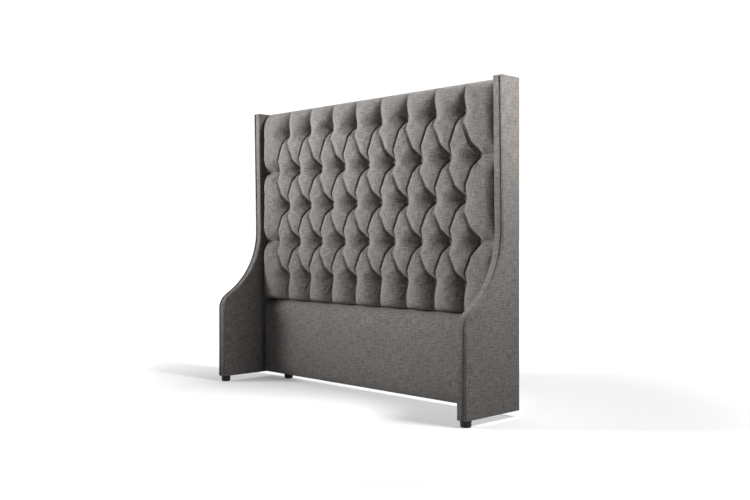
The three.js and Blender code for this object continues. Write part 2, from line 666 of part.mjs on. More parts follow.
function addCentrePanel() {
  add("panel_left_stile", stile(-1), timber);
  add("panel_right_stile", stile(1), timber);
  add("panel_bottom_rail", panelFootHoles(rail([FRAME_BOTTOM, FRAME_BOTTOM + TIMBER_FACE])), timber);
  add("panel_seam_rail", rail(seam_rail_z), timber);
  add("panel_top_rail", rail([FRAME_TOP - TIMBER_FACE, FRAME_TOP]), timber);
  const stud_x = 1.5 * TUFT_PITCH + TUFT_PITCH / 4;
  add("panel_left_stud", stud(-stud_x), timber);
  add("panel_right_stud", stud(stud_x), timber);
  add("tuft_board", panelBoard([SEAM_HEIGHT + CLEARANCE / 2, FRAME_TOP], all_tufts), plywood);
  add("lower_board", panelBoard([FRAME_BOTTOM, SEAM_HEIGHT - CLEARANCE / 2], []), plywood);
  add("tufted_foam", tuftedFoam(), foam);
  add("lower_foam", lowerFoam(), foam);
  add("tufted_cover", panelCover(tuft_xs, tuft_zs, tuftedDepth, tuft_zs[0], HEIGHT), grey_fabric);
  const lower_cover = panelCover(lower_xs, lower_zs, lowerDepth, lower_top, PANEL_BOTTOM);
  add("lower_cover", panelFootHoles(lower_cover), grey_fabric);
  add("back_lining", backLining(), lining_fabric);
  tuft_rows.forEach((tufts, row) => add(`tuft_twine_row_${row + 1}`, twineRow(tufts), twine));
}

function addWing(side_name, side) {
  const wing = new THREE.Group();
  wing.scale.x = side;
  headboard.add(wing);
  add(`${side_name}_wing_rear_post`, rearPost(), timber, wing);
  add(`${side_name}_wing_front_rib`, frontRib(), plywood, wing);
  add(`${side_name}_wing_bottom_rail`, wingBottomRail(), timber, wing);
  add(`${side_name}_wing_shoulder_rail`, wingShoulderRail(), timber, wing);
  add(`${side_name}_wing_top_rail`, wingTopRail(), timber, wing);
  add(`${side_name}_wing_inner_board`, boltedWingBoard(INNER_BOARD_X), plywood, wing);
  add(`${side_name}_wing_outer_board`, wingBoard(OUTER_BOARD_X), plywood, wing);
  add(`${side_name}_wing_inner_foam`, wingInnerFoam(), foam, wing);
  add(`${side_name}_wing_outer_foam`, wingOuterFoam(), foam, wing);
  add(`${side_name}_wing_cover`, wingCover(), grey_fabric, wing);
  BOLT_HEIGHTS.forEach((z, i) => {
    add(`${side_name}_wing_bolt_${i + 1}`, wingBolt(z), zinc, wing);
    add(`${side_name}_wing_insert_${i + 1}`, threadedInsert(z), zinc, wing);
  });
}

function boltedWingBoard(x0) {
  return boltHoles(wingBoard(x0), 1, x0 - 1, x0 + WING_BOARD + 1, BOLT_RADIUS + CLEARANCE);
}

function addFoot(name, x, depth, timber_z) {
  const place = new THREE.Vector3(x, BACK - depth, 0);
  add(`${name}_foot`, foot(), black_plastic).position.copy(place);
  add(`${name}_foot_screw`, footScrew(timber_z), zinc).position.copy(place);
}

addCentrePanel();
for (const [side_name, side] of [["left", -1], ["right", 1]]) {
  addWing(side_name, side);
  addFoot(`${side_name}_wing`, side * wing_foot_x, wing_foot_depth, wing_low);
  addFoot(`${side_name}_panel`, (side * PANEL_FOOT_SPACING) / 2, panel_foot_depth, FRAME_BOTTOM);
}

export default headboard;
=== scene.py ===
"""Upholstery, finishes and studio of a floor-standing headboard with a tufted panel and two wings.

Lengths are in metres. +X is to the right for someone facing the headboard, -Y is the front, +Z is up.
A depth is a distance from the back of the headboard towards its front.
"""

import json
import math

import bmesh
import bpy
import numpy as np
from bpy.props import FloatProperty, FloatVectorProperty, PointerProperty
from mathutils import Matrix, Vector


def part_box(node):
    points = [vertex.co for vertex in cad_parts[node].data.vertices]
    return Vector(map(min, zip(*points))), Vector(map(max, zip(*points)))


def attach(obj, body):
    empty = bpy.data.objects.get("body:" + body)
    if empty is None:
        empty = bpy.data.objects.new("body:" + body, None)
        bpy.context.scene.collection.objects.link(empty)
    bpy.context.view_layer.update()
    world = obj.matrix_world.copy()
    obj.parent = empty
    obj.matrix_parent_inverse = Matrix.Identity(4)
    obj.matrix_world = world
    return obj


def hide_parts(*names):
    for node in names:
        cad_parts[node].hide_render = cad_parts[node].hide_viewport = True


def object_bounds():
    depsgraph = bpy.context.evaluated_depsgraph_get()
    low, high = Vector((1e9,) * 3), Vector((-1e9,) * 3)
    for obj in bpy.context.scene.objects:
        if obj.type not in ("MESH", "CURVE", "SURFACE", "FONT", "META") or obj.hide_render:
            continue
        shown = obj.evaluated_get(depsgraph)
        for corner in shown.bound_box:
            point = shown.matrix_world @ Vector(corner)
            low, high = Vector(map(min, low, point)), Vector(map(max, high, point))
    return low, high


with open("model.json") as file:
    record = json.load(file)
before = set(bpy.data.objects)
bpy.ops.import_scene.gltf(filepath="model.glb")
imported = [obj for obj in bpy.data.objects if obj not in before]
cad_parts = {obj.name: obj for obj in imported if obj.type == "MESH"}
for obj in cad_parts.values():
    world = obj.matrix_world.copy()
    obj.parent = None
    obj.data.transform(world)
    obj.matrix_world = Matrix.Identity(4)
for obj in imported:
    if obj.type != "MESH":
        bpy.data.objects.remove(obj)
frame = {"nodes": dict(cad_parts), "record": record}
CAD_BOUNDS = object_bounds()

bl_info = {
    "name": "Wing Headboard",
    "version": (1, 0, 0),
    "blender": (4, 5, 0),
    "location": "View3D > Sidebar > Headboard",
    "description": "Upholstery, finishes and studio of a tufted headboard with wings",
    "category": "Object",
}

BODY = "root"
SIDES = {"left": -1, "right": 1}
BACK = CAD_BOUNDS[1][1]
TOP = CAD_BOUNDS[1][2]
GAP = 0.0003  # air between pieces that touch
TIMBERS = {"rail", "stile", "stud"}

# Cloth
SETTLING_FRAMES = 18
PLEAT_CURVE = 1.6  # how soon a side, top or seam pleat reaches its own depth
PILLOW_SHARPNESS = 5  # how sharply the dimples of neighbouring pleats meet

# Folds: lengths are along or across a pleat
FOLD_START = 0.004
FOLD_GROWTH = 0.018
TIGHT_FADE = 0.35  # share of a pleat over which its fold fades out
LOOSE_FADE = 0.70
DIP_CURVE = 1.3
RIDGE_WIDTH = 0.003
LEAN_REACH = 4  # in lip widths

# Wrinkles under a tuft
WRINKLE_SEED = 7
WRINKLES_ROUND = (19, 25)  # in a full turn
WRINKLE_STRENGTHS = (0.6, 1.3)
WRINKLE_MIDDLE = 0.046  # from the tuft
WRINKLE_LENGTH = 0.024
WRINKLE_END = 0.12
WRINKLE_SPREAD = 8  # the higher, the closer they keep to straight down

# Details
WING_INSET = 0.002  # ring of faces that keeps a wing's flat side flat
STAPLE_LENGTH = 0.0105
STAPLE_WIRE = 0.0011
STAPLE_PROUD = 0.0005
STAPLE_ROUND = 0.0002

# Studio
FLOOR_REACH = 300
GLOW_REACH = 5.0  # the floor's painted glow grows between these two distances within this reach; the dimmer glow nearer in is painted shade round the headboard
GLOW_START = 0.9
GLOW_END = 2.25
KEY_LIGHT = {
    "size": (1.5, 1.5),
    "place": (-2.7, -2.7, 2.0),
    "aim": (-0.05, 0, 1.45),
    "spread": math.radians(49),
}
SIDE_LIGHT = {
    "size": (0.9, 0.9),
    "place": (2.3, 0.4, 2.5),
    "aim": (0.85, 0.1, 1.5),
    "spread": math.radians(72),
}


# ---- Places taken from the frame ----


def depth_of(node, front=True):
    """Depth of a node's front or back face."""
    low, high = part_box(node)
    return BACK - (low.y if front else high.y)


PANEL_LOW, PANEL_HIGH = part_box("lower_cover")[0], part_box("tufted_cover")[1]
PANEL_HALF = PANEL_HIGH.x
PANEL_BOTTOM = PANEL_LOW.z
SEAM_HEIGHT = (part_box("tufted_cover")[0].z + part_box("lower_cover")[1].z) / 2
BOARD_DEPTH = depth_of("tuft_board") + GAP
CREST_DEPTH = depth_of("tufted_cover")
WING_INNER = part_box("right_wing_cover")[0].x
WING_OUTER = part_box("right_wing_cover")[1].x
WING_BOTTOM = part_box("right_wing_cover")[0].z
WING_FRONT = depth_of("right_wing_cover")
ROWS = sorted(name for name in frame["nodes"] if name.startswith("tuft_twine_row"))


def tuft_rows():
    """The tufts as rows of (x, z) from the lowest row up, from where their twines run."""
    boxes = [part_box(name) for name in ROWS]
    widths = [high.x - low.x for low, high in boxes]
    pitch = max(widths) - min(widths)
    rows = []
    for (low, high), width in zip(boxes, widths):
        count = 1 + int(width / pitch)
        z = (low.z + high.z) / 2
        rows.append([((i - (count - 1) / 2) * pitch, z) for i in range(count)])
    return rows


TUFT_ROWS = tuft_rows()
TUFT_PITCH = TUFT_ROWS[0][1][0] - TUFT_ROWS[0][0][0]


# ---- Sizes and colours a user would change ----


def length(name, description, default):
    return FloatProperty(name=name, description=description, default=default, unit="LENGTH")


def plain(name, description, default):
    return FloatProperty(name=name, description=description, default=default)


def colour(name, description, default):
    return FloatVectorProperty(
        name=name, description=description, default=default, subtype="COLOR", size=3, min=0, max=1
    )


class HeadboardTufting(bpy.types.PropertyGroup):
    cell: length("Cell", "Spacing of the cloth's grid", 0.0030)
    tuft_depth: length("Tuft depth", "Back of the headboard to the bottom of a tuft", 0.0575)
    pleat_depth: length("Pleat depth", "Back to the bottom of a pleat half way along", 0.101)
    upright_depth: length("Upright pleat depth", "Back to an upright pleat half way along", 0.068)
    side_pleat_depth: length("Side pleat depth", "Back to a level pleat beside a wing", 0.058)
    plunge: length("Plunge", "Length over which a pleat drops to a tuft", 0.070)
    rise: length("Rise", "Distance from a tuft to the crown of a pillow", 0.090)
    steepness: plain("Steepness", "How sharply pillows fall to tufts", 2.4)
    pleat_width: length("Pleat width", "Distance from the middle of a pleat to its pillow", 0.050)
    tight_depth: length("Tight fold depth", "Depth of the folds that lean right", 0.016)
    tight_dip: length("Tight dip", "Width of the cloth that dips under a fold that leans right", 0.013)
    loose_depth: length("Loose fold depth", "Depth of the folds that lean left", 0.0085)
    loose_dip: length("Loose dip", "Width of the cloth that dips under a fold that leans left", 0.015)
    tight_lip: length("Tight lip", "Width of the round lip above a fold that leans right", 0.0065)
    loose_lip: length("Loose lip", "Width of the round lip above a fold that leans left", 0.0120)
    overhang: length("Overhang", "How far a lip hangs over its pleat", 0.004)
    tight_ridge: length("Tight ridge", "Height of the fine ridge beside a fold that leans right", 0.0007)
    loose_ridge: length("Loose ridge", "Height of the fine ridge beside a fold that leans left", 0.0034)
    top_depth: length("Top edge depth", "Back to the front corner of the top edge", 0.046)
    side_depth: length("Side edge depth", "Back to where a pillow meets a wing", 0.070)
    seam_depth: length("Seam depth", "Back to the seam under the tufting", 0.050)
    top_roll: length("Top roll", "Height over which the cloth rolls back to the top edge", 0.110)
    side_roll: length("Side roll", "Width over which the cloth rolls back to a wing", 0.054)
    seam_roll: length("Seam roll", "Height over which the cloth rolls back to the seam", 0.030)
    pucker: length("Pucker", "Depth of the fine wrinkles round a tuft", 0.0024)
    settling_cell: length("Settling cell", "Spacing of the grid that the cloth settles on", 0.0085)
    pressure: plain("Pressure", "Pressure of the padding under the cloth", 2)
    slack: plain("Slack", "Share of spare cloth in the pillows", 0.008)
    cap: length("Cap", "Most that the cloth may move as it settles", 0.0045)


class HeadboardLower(bpy.types.PropertyGroup):
    cell: length("Cell", "Spacing of the cloth's grid", 0.010)
    crest_depth: length("Crest depth", "Back of the headboard to the face of the lower pad", 0.098)
    side_depth: length("Side edge depth", "Back to where the lower pad meets a wing", 0.072)
    corner_depth: length("Corner depth", "Back to the lower pad's top corners", 0.043)
    corner: length("Corner", "Height over which the lower pad's side falls to its top corner", 0.085)
    seam_depth: length("Seam depth", "Back to the seam over the lower pad", 0.052)
    bottom_depth: length("Bottom edge depth", "Back to the lower pad's bottom edge", 0.068)
    roll: length("Roll", "Width over which the pad rolls back at its edges", 0.046)
    settling_cell: length("Settling cell", "Spacing of the grid that the cloth settles on", 0.016)
    pressure: plain("Pressure", "Pressure of the padding under the cloth", 0.6)
    slack: plain("Slack", "Share of spare cloth", 0.004)
    cap: length("Cap", "Most that the cloth may move as it settles", 0.004)


class HeadboardWings(bpy.types.PropertyGroup):
    top_depth: length("Top depth", "Depth of a wing at its top", 0.120)
    waist_depth: length("Waist depth", "Depth of a wing where its hollow starts", 0.109)
    waist_height: length("Waist height", "Floor to the centre of the hollow's arc", 0.795)
    waist_radius: length("Waist radius", "Radius of the hollow", 0.380)
    shoulder_height: length("Shoulder height", "Floor to the centre of the shoulder's arc", 0.385)
    shoulder_radius: length("Shoulder radius", "Radius of the shoulder", 0.085)
    border: length("Border", "Inner face to the seam on a wing's front border", 0.0385)
    rim: length("Rim", "Thickness of the padding round a wing's edge", 0.0125)
    skin: length("Skin", "Thickness of the padding on a wing's faces", 0.0083)
    outer_round: length("Outer rounding", "Radius of the outer panel's front edge", 0.0068)
    inner_round: length("Inner rounding", "Radius of the border's inner edge", 0.007)
    border_round: length("Border rounding", "Radius where the border falls to its seam", 0.0115)
    seam_round: length("Seam rounding", "Radius of the outer panel beside the border's seam", 0.0018)
    edge_round: length("Edge rounding", "Radius of the top and bottom edges", 0.003)


class HeadboardBack(bpy.types.PropertyGroup):
    cloth: length("Cloth", "Thickness of the cover's hem", 0.0007)
    turn: length("Turn", "Radius of the cover's turn onto the back", 0.0030)
    hem: length("Hem", "Width of the cover's hem on the back", 0.0160)
    hem_depth: length("Hem depth", "Back of the headboard to the hem's face", 0.0005)
    lining_inset: length("Lining inset", "Edge of the lining to the edge of its folded hem", 0.0100)
    lining_sag: length("Lining sag", "Sag of the dust cloth between the timbers", 0.0050)
    sag_reach: length("Sag reach", "Distance from a timber to the full sag", 0.1600)
    staple_inset: length("Staple inset", "Edge of the lining to its staples", 0.0070)
    staple_spacing: length("Staple spacing", "Distance between staples", 0.0550)


class HeadboardColours(bpy.types.PropertyGroup):
    linen_dark: colour("Linen dark", "Darker yarn", (0.037, 0.0347, 0.0329))
    linen_light: colour("Linen light", "Lighter yarn", (0.125, 0.1178, 0.1122))
    lining: colour("Lining", "Dust cloth on the back", (0.016, 0.016, 0.018))
    foot: colour("Foot", "Plastic of the feet", (0.0045, 0.0045, 0.0050))
    pine: colour("Pine", "Timber of the frame", (0.55, 0.36, 0.19))
    plywood: colour("Plywood", "Facing boards and ribs", (0.60, 0.43, 0.26))
    twine: colour("Twine", "Tufting twine", (0.75, 0.70, 0.58))
    zinc: colour("Zinc", "Bolts, inserts, screws and staples", (0.62, 0.63, 0.64))
    floor: colour("Floor", "Studio floor", (0.50, 0.50, 0.50))


class HeadboardStudio(bpy.types.PropertyGroup):
    lens: plain("Lens", "Focal length in millimetres", 43.39)
    shift: plain("Shift", "Vertical shift of the camera", -0.01445)
    turn: FloatProperty(
        name="Turn", description="Camera's turn about Z", default=math.radians(45.79), subtype="ANGLE"
    )
    place: FloatVectorProperty(
        name="Place", description="Camera's place", default=(3.1550, -2.9162, 0.7494), subtype="XYZ"
    )
    key: plain("Key", "Power of the light at the left front", 85)
    side: plain("Side", "Power of the light at the right", 44)
    sky: plain("Sky", "Strength of the light from the room in front", 0.075)
    paper: plain("Paper", "Strength of the white paper behind", 1.10)
    # painted shade: the floor's glow stays low near the headboard
    near_glow_painted_shade: plain("Near glow", "Floor's own light near the headboard", 0.24)
    far_glow: plain("Far glow", "Floor's own light further out", 1.02)


# ---- Mesh helpers ----


def points_of(mesh):
    """A mesh's points as an array of rows."""
    co = np.empty(len(mesh.vertices) * 3)
    mesh.vertices.foreach_get("co", co)
    return co.reshape(-1, 3)


def set_points(mesh, co):
    """Moves a mesh's points to the rows of an array."""
    mesh.vertices.foreach_set("co", co.ravel())
    mesh.update()


def object_from(bm, name):
    """Turns a bmesh into a linked object with smooth faces."""
    mesh = bpy.data.meshes.new(name)
    bm.to_mesh(mesh)
    bm.free()
    mesh.shade_smooth()
    piece = bpy.data.objects.new(name, mesh)
    bpy.context.scene.collection.objects.link(piece)
    return piece


def finish_piece(piece, material, slot, *nodes):
    """Gives a piece its material, attaches it to the body and hides the nodes that it stands for."""
    piece.data.materials.clear()
    piece.data.materials.append(material)
    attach(piece, BODY)
    if nodes:
        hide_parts(*nodes)
    return piece


def smooth_step(t):
    """Rises from 0 to 1, level at both ends."""
    t = np.clip(t, 0, 1)
    return t * t * (3 - 2 * t)


# ---- Rolled cloth ----


def quarter_arc(roll, drop):
    """Length of a quarter of an ellipse that is `roll` wide and `drop` high."""
    return math.pi / 2 * math.sqrt((roll * roll + drop * drop) / 2)


def rolled_edge(cloth, roll, arc):
    """Where cloth lies that leaves an edge and rolls to the front.

    Returns its distance from the edge, seen from the front, and its share of the full height."""
    angle = np.clip(cloth / arc, 0, 1) * math.pi / 2
    away = np.where(cloth < arc, roll * (1 - np.cos(angle)), roll + cloth - arc)
    return away, np.sin(angle)


def cloth_axis(cloth, low, high, low_edge, high_edge):
    """Places one cloth coordinate, from 0 to its length, between two rolled edges.

    An edge is (roll, arc). Returns the place and the share of the height at each edge."""
    total = high - low - low_edge[0] - high_edge[0] + low_edge[1] + high_edge[1]
    u = cloth * total
    from_low, low_share = rolled_edge(u, *low_edge)
    from_high, high_share = rolled_edge(total - u, *high_edge)
    place = np.where(u < total / 2, low + from_low, high - from_high)
    return place, low_share, high_share, total


def cloth_grid(name, width, height, cell):
    """A flat grid in the XZ plane from 0 to 1 each way, with its UVs in metres."""
    bm = bmesh.new()
    columns, rows = round(width / cell), round(height / cell)
    bmesh.ops.create_grid(bm, x_segments=columns, y_segments=rows, size=0.5, calc_uvs=True)
    bmesh.ops.translate(bm, verts=bm.verts, vec=(0.5, 0.5, 0))
    uv = bm.loops.layers.uv.verify()
    for face in bm.faces:
        for loop in face.loops:
            loop[uv].uv = (loop.vert.co.x * width, loop.vert.co.y * height)
    return object_from(bm, name)


# ---- Cloth simulation ----


def settle_cloth(piece, held, pressure, slack, cap):
    """Blows a held cloth out with pressure and returns how far each point moved, at most `cap`."""
    mesh = piece.data
    start = points_of(mesh)
    group = piece.vertex_groups.new(name="held")
    group.add([int(i) for i in np.flatnonzero(held)], 1.0, "REPLACE")
    cloth = piece.modifiers.new("settle", "CLOTH")
    settings = cloth.settings
    settings.quality = 5
    settings.mass = 0.25
    settings.tension_stiffness = settings.compression_stiffness = 12
    settings.shear_stiffness = 6
    settings.bending_stiffness = 0.3
    settings.tension_damping = settings.compression_damping = settings.shear_damping = 20
    settings.vertex_group_mass = "held"
    settings.pin_stiffness = 5
    settings.shrink_min = -slack
    settings.use_pressure = True
    settings.uniform_pressure_force = pressure
    settings.effector_weights.gravity = 0
    cloth.point_cache.frame_start = 1
    cloth.point_cache.frame_end = SETTLING_FRAMES
    for frame_number in range(1, SETTLING_FRAMES + 1):
        bpy.context.scene.frame_set(frame_number)
    graph = bpy.context.evaluated_depsgraph_get()
    settled = points_of(piece.evaluated_get(graph).data)
    bpy.context.scene.frame_set(1)
    piece.modifiers.clear()
    moves = settled - start
    far = np.linalg.norm(moves, axis=1, keepdims=True)
    moves *= cap * np.tanh(far / cap) / np.maximum(far, 1e-9)
    moves[held] = 0
    return moves


def moves_at(cloth, moves, grid, columns, rows):
    """Samples the moves of a coarse grid smoothly at other places on the same cloth."""
    table = np.zeros((rows + 3, columns + 3, 3))
    column = np.rint(grid[:, 0] * columns).astype(int)
    row = np.rint(grid[:, 1] * rows).astype(int)
    table[row + 1, column + 1] = moves
    total = np.zeros((len(cloth), 3))
    u, v = cloth[:, 0] * columns, cloth[:, 1] * rows
    i, j = np.rint(u).astype(int), np.rint(v).astype(int)
    weights_u, weights_v = spline_weights(u - i), spline_weights(v - j)
    for step_v in range(3):
        for step_u in range(3):
            weight = weights_u[step_u] * weights_v[step_v]
            total += weight[:, None] * table[j + step_v, i + step_u]
    return total


def spline_weights(offset):
    """Weights of the three nearest points of a smooth curve, for an offset from the middle one."""
    return 0.5 * (0.5 - offset) ** 2, 0.75 - offset**2, 0.5 * (0.5 + offset) ** 2


def settled_moves(surface, size, cell, cloth, held_at, pressure, slack, cap):
    """Simulates a coarse copy of a cloth and returns its moves at the cloth's own points."""
    width, height = size
    columns, rows = round(width / cell), round(height / cell)
    coarse = cloth_grid("settling", width, height, cell)
    grid = points_of(coarse.data)[:, :2]
    set_points(coarse.data, surface(grid))
    moves = settle_cloth(coarse, held_at(grid), pressure, slack, cap)
    mesh = coarse.data
    bpy.data.objects.remove(coarse)
    bpy.data.meshes.remove(mesh)
    return moves_at(cloth, moves, grid, columns, rows)


# ---- Pillows between tufts ----


def pleat_lines():
    """Every pleat as (start, end, kind): kind is cross between tufts, side, top or seam."""
    lines = []
    for below, above in zip(TUFT_ROWS, TUFT_ROWS[1:]):
        lines += [
            (a, b, "cross") for a in below for b in above if abs(a[0] - b[0]) < TUFT_PITCH
        ]
    for row in TUFT_ROWS[1::2]:
        lines.append((row[0], (-PANEL_HALF, row[0][1]), "side"))
        lines.append((row[-1], (PANEL_HALF, row[0][1]), "side"))
    lines += [(tuft, (tuft[0], TOP), "top") for tuft in TUFT_ROWS[-1]]
    lines += [(tuft, (tuft[0], SEAM_HEIGHT), "seam") for tuft in TUFT_ROWS[0]]
    return lines


PLEATS = pleat_lines()


def along_pleat(x, z, start, end):
    """For each point: its distance from a pleat, its share along it and on which side it lies."""
    ax, az = start
    dx, dz = end[0] - ax, end[1] - az
    share = np.clip(((x - ax) * dx + (z - az) * dz) / (dx * dx + dz * dz), 0, 1)
    off_x, off_z = x - ax - dx * share, z - az - dz * share
    side = np.sign((z - az) * dx - (x - ax) * dz) * (1 if dx > 0 else -1)
    return np.hypot(off_x, off_z), share, side


def pleat_floor(tufting, kind, from_tuft, share):
    """Depth at the bottom of a pleat, at a distance and a share of its length from its tuft."""
    deep = tufting.tuft_depth
    if kind == "cross":
        return deep + (tufting.pleat_depth - deep) * smooth_step(from_tuft / tufting.plunge)
    middle = tufting.side_pleat_depth if kind == "side" else tufting.upright_depth
    return deep + (middle - deep) * smooth_step(PLEAT_CURVE * share)


def pillow_depth(tufting, x, z):
    """Depth of the tufted cloth before it rolls back to its edges, without its folds."""
    total = np.zeros_like(x)
    deepest = CREST_DEPTH - tufting.tuft_depth
    for start, end, kind in PLEATS:
        distance, share, _ = along_pleat(x, z, start, end)
        span = math.dist(start, end)
        from_tuft = share * span
        width = np.full_like(x, tufting.rise)
        if kind == "cross":
            from_tuft = np.minimum(share, 1 - share) * span
            narrowing = smooth_step(from_tuft / (span / 2))
            width = tufting.rise + (tufting.pleat_width - tufting.rise) * narrowing
        drop = CREST_DEPTH - pleat_floor(tufting, kind, from_tuft, share)
        drop = drop * np.clip(1 - distance / width, 0, 1) ** tufting.steepness
        total += (drop / deepest) ** PILLOW_SHARPNESS
    return CREST_DEPTH - deepest * np.minimum(total, 1) ** (1 / PILLOW_SHARPNESS)


def fold_pleats(tufting, x, z):
    """How far the folds move the cloth: back into the pad, to the right and up.

    The cloth above a pleat ends in a round lip, and the cloth below it dips under that lip. A pleat
    that leans right is pulled tight: its dip is narrow, its lip hangs over and it starts at its
    upper tuft. A pleat that leans left is loose: it starts at its lower tuft and fades upward."""
    back = np.zeros_like(x)
    across = np.zeros_like(x)
    up = np.zeros_like(x)
    for start, end, kind in PLEATS:
        if kind != "cross":
            continue
        leans_right = end[0] > start[0]
        if leans_right:
            depth, dip, lip_width = tufting.tight_depth, tufting.tight_dip, tufting.tight_lip
            overhang, ridge_height = tufting.overhang, tufting.tight_ridge
        else:
            depth, dip, lip_width = tufting.loose_depth, tufting.loose_dip, tufting.loose_lip
            overhang, ridge_height = -tufting.overhang, tufting.loose_ridge
        distance, share, side = along_pleat(x, z, start, end)
        from_start = 1 - share if leans_right else share
        growth = smooth_step((from_start * math.dist(start, end) - FOLD_START) / FOLD_GROWTH)
        fade = growth * smooth_step((1 - from_start) / (TIGHT_FADE if leans_right else LOOSE_FADE))
        lip = np.clip(1 - distance / lip_width, 0, 1)
        under = np.clip(1 - distance / dip, 0, 1)
        sink = np.where(side > 0, 1 - np.sqrt(1 - lip**2), under**DIP_CURVE)
        ridge = np.exp(-(((distance - dip) / RIDGE_WIDTH) ** 2)) * (side < 0)
        back = np.maximum(back, fade * depth * sink) - fade * ridge_height * ridge
        reach = distance / lip_width
        lean = fade * overhang * (side > 0) * reach * np.exp(1 - reach) * (reach < LEAN_REACH)
        along = Vector((end[0] - start[0], end[1] - start[1])).normalized()
        toward = (along.y, -along.x) if leans_right else (-along.y, along.x)
        across += lean * toward[0]
        up += lean * toward[1]
    return back, across, up


def pucker(tufting, x, z):
    """Fine wrinkles that run down from each tuft into the top corner of the pillow below."""
    depth = np.zeros_like(x)
    chance = np.random.default_rng(WRINKLE_SEED)
    for row in TUFT_ROWS:
        for tuft_x, tuft_z in row:
            count = chance.uniform(*WRINKLES_ROUND)
            phase = chance.uniform(0, math.tau)
            strength = chance.uniform(*WRINKLE_STRENGTHS)
            dx, dz = x - tuft_x, z - tuft_z
            away = np.hypot(dx, dz)
            near = np.exp(-(((away - WRINKLE_MIDDLE) / WRINKLE_LENGTH) ** 2)) * (away < WRINKLE_END)
            downward = np.clip(-dz / np.maximum(away, GAP), 0, 1) ** WRINKLE_SPREAD
            wave = np.cos(count * np.arctan2(dx, -dz) + phase)
            depth += strength * tufting.pucker * near * downward * wave
    return depth


def tufted_surface(tufting, cloth, folded=True):
    """Points of the tufted cloth for a grid from 0 to 1 each way, and its flat size."""
    side = (tufting.side_roll, quarter_arc(tufting.side_roll, CREST_DEPTH - tufting.side_depth))
    top = (tufting.top_roll, quarter_arc(tufting.top_roll, CREST_DEPTH - tufting.top_depth))
    seam = (tufting.seam_roll, quarter_arc(tufting.seam_roll, CREST_DEPTH - tufting.seam_depth))
    x, left, right, width = cloth_axis(cloth[:, 0], -PANEL_HALF, PANEL_HALF, side, side)
    z, bottom, upper, height = cloth_axis(cloth[:, 1], SEAM_HEIGHT + GAP / 2, TOP, seam, top)
    depth = pillow_depth(tufting, x, z)
    across = up = 0
    if folded:
        back, across, up = fold_pleats(tufting, x, z)
        depth = depth - back + pucker(tufting, x, z)
    for edge_depth, share in (
        (tufting.side_depth, left * right),
        (tufting.top_depth, upper),
        (tufting.seam_depth, bottom),
    ):
        edge = np.minimum(depth, edge_depth)
        depth = edge + (depth - edge) * share
    inside = left * right * upper * bottom
    return np.stack([x + across * inside, BACK - depth, z + up * inside], axis=1), (width, height)


def close_to_board(piece):
    """Takes the open edge of a pad straight back to the board and closes it there."""
    bm = bmesh.new()
    bm.from_mesh(piece.data)
    rim = [edge for edge in bm.edges if edge.is_boundary]
    made = bmesh.ops.extrude_edge_only(bm, edges=rim)["geom"]
    ring = [item for item in made if isinstance(item, bmesh.types.BMVert)]
    for vert in ring:
        vert.co.y = BACK - BOARD_DEPTH
    edges = [edge for edge in bm.edges if edge.is_boundary]
    bmesh.ops.contextual_create(bm, geom=edges)
    bmesh.ops.recalc_face_normals(bm, faces=bm.faces)
    bm.to_mesh(piece.data)
    bm.free()
    piece.data.shade_smooth()


def held_by_tufts(tufting, grid):
    """The points of the cloth that its edges, its tufts and the bottoms of its pleats hold."""
    points, _ = tufted_surface(tufting, grid, folded=False)
    x, z = points[:, 0], points[:, 2]
    held = (np.abs(grid - 0.5) > 0.499).any(axis=1)
    for start, end, _ in PLEATS:
        held |= along_pleat(x, z, start, end)[0] < tufting.settling_cell * 0.75
    return held


def tufted_pad(tufting, material):
    """The diamond-tufted pad over the upper board."""
    _, size = tufted_surface(tufting, np.zeros((1, 2)))
    piece = cloth_grid("tufted_pad", *size, tufting.cell)
    cloth = points_of(piece.data)[:, :2]
    points, _ = tufted_surface(tufting, cloth)
    points += settled_moves(
        surface=lambda grid: tufted_surface(tufting, grid, folded=False)[0],
        size=size,
        cell=tufting.settling_cell,
        cloth=cloth,
        held_at=lambda grid: held_by_tufts(tufting, grid),
        pressure=tufting.pressure,
        slack=tufting.slack,
        cap=tufting.cap,
    )
    set_points(piece.data, points)
    close_to_board(piece)
    finish_piece(piece, material, "linen", "tufted_cover", "tufted_foam")
    return piece


def lower_surface(lower, cloth):
    """Points of the smooth lower pad for a grid from 0 to 1 each way, and its flat size."""
    side = (lower.roll, quarter_arc(lower.roll, lower.crest_depth - lower.side_depth))
    seam = (lower.roll, quarter_arc(lower.roll, lower.crest_depth - lower.seam_depth))
    bottom = (lower.roll, quarter_arc(lower.roll, lower.crest_depth - lower.bottom_depth))
    x, left, right, width = cloth_axis(cloth[:, 0], -PANEL_HALF, PANEL_HALF, side, side)
    z, low, high, height = cloth_axis(cloth[:, 1], PANEL_BOTTOM, SEAM_HEIGHT - GAP / 2, bottom, seam)
    depth = np.full_like(x, lower.crest_depth)
    below_corner = smooth_step((SEAM_HEIGHT - z) / lower.corner)
    side_depth = lower.corner_depth + (lower.side_depth - lower.corner_depth) * below_corner
    for edge, share in (
        (side_depth, left * right),
        (lower.seam_depth, high),
        (lower.bottom_depth, low),
    ):
        edge = np.minimum(depth, edge)
        depth = edge + (depth - edge) * share
    return np.stack([x, BACK - depth, z], axis=1), (width, height)


def lower_pad(lower, material):
    """The smooth pad under the seam."""
    _, size = lower_surface(lower, np.zeros((1, 2)))
    piece = cloth_grid("lower_pad", *size, lower.cell)
    cloth = points_of(piece.data)[:, :2]
    points, _ = lower_surface(lower, cloth)
    points += settled_moves(
        surface=lambda grid: lower_surface(lower, grid)[0],
        size=size,
        cell=lower.settling_cell,
        cloth=cloth,
        held_at=lambda grid: (np.abs(grid - 0.5) > 0.499).any(axis=1),
        pressure=lower.pressure,
        slack=lower.slack,
        cap=lower.cap,
    )
    set_points(piece.data, points)
    close_to_board(piece)
    finish_piece(piece, material, "linen", "lower_cover", "lower_foam")
    return piece


# ---- Wings ----


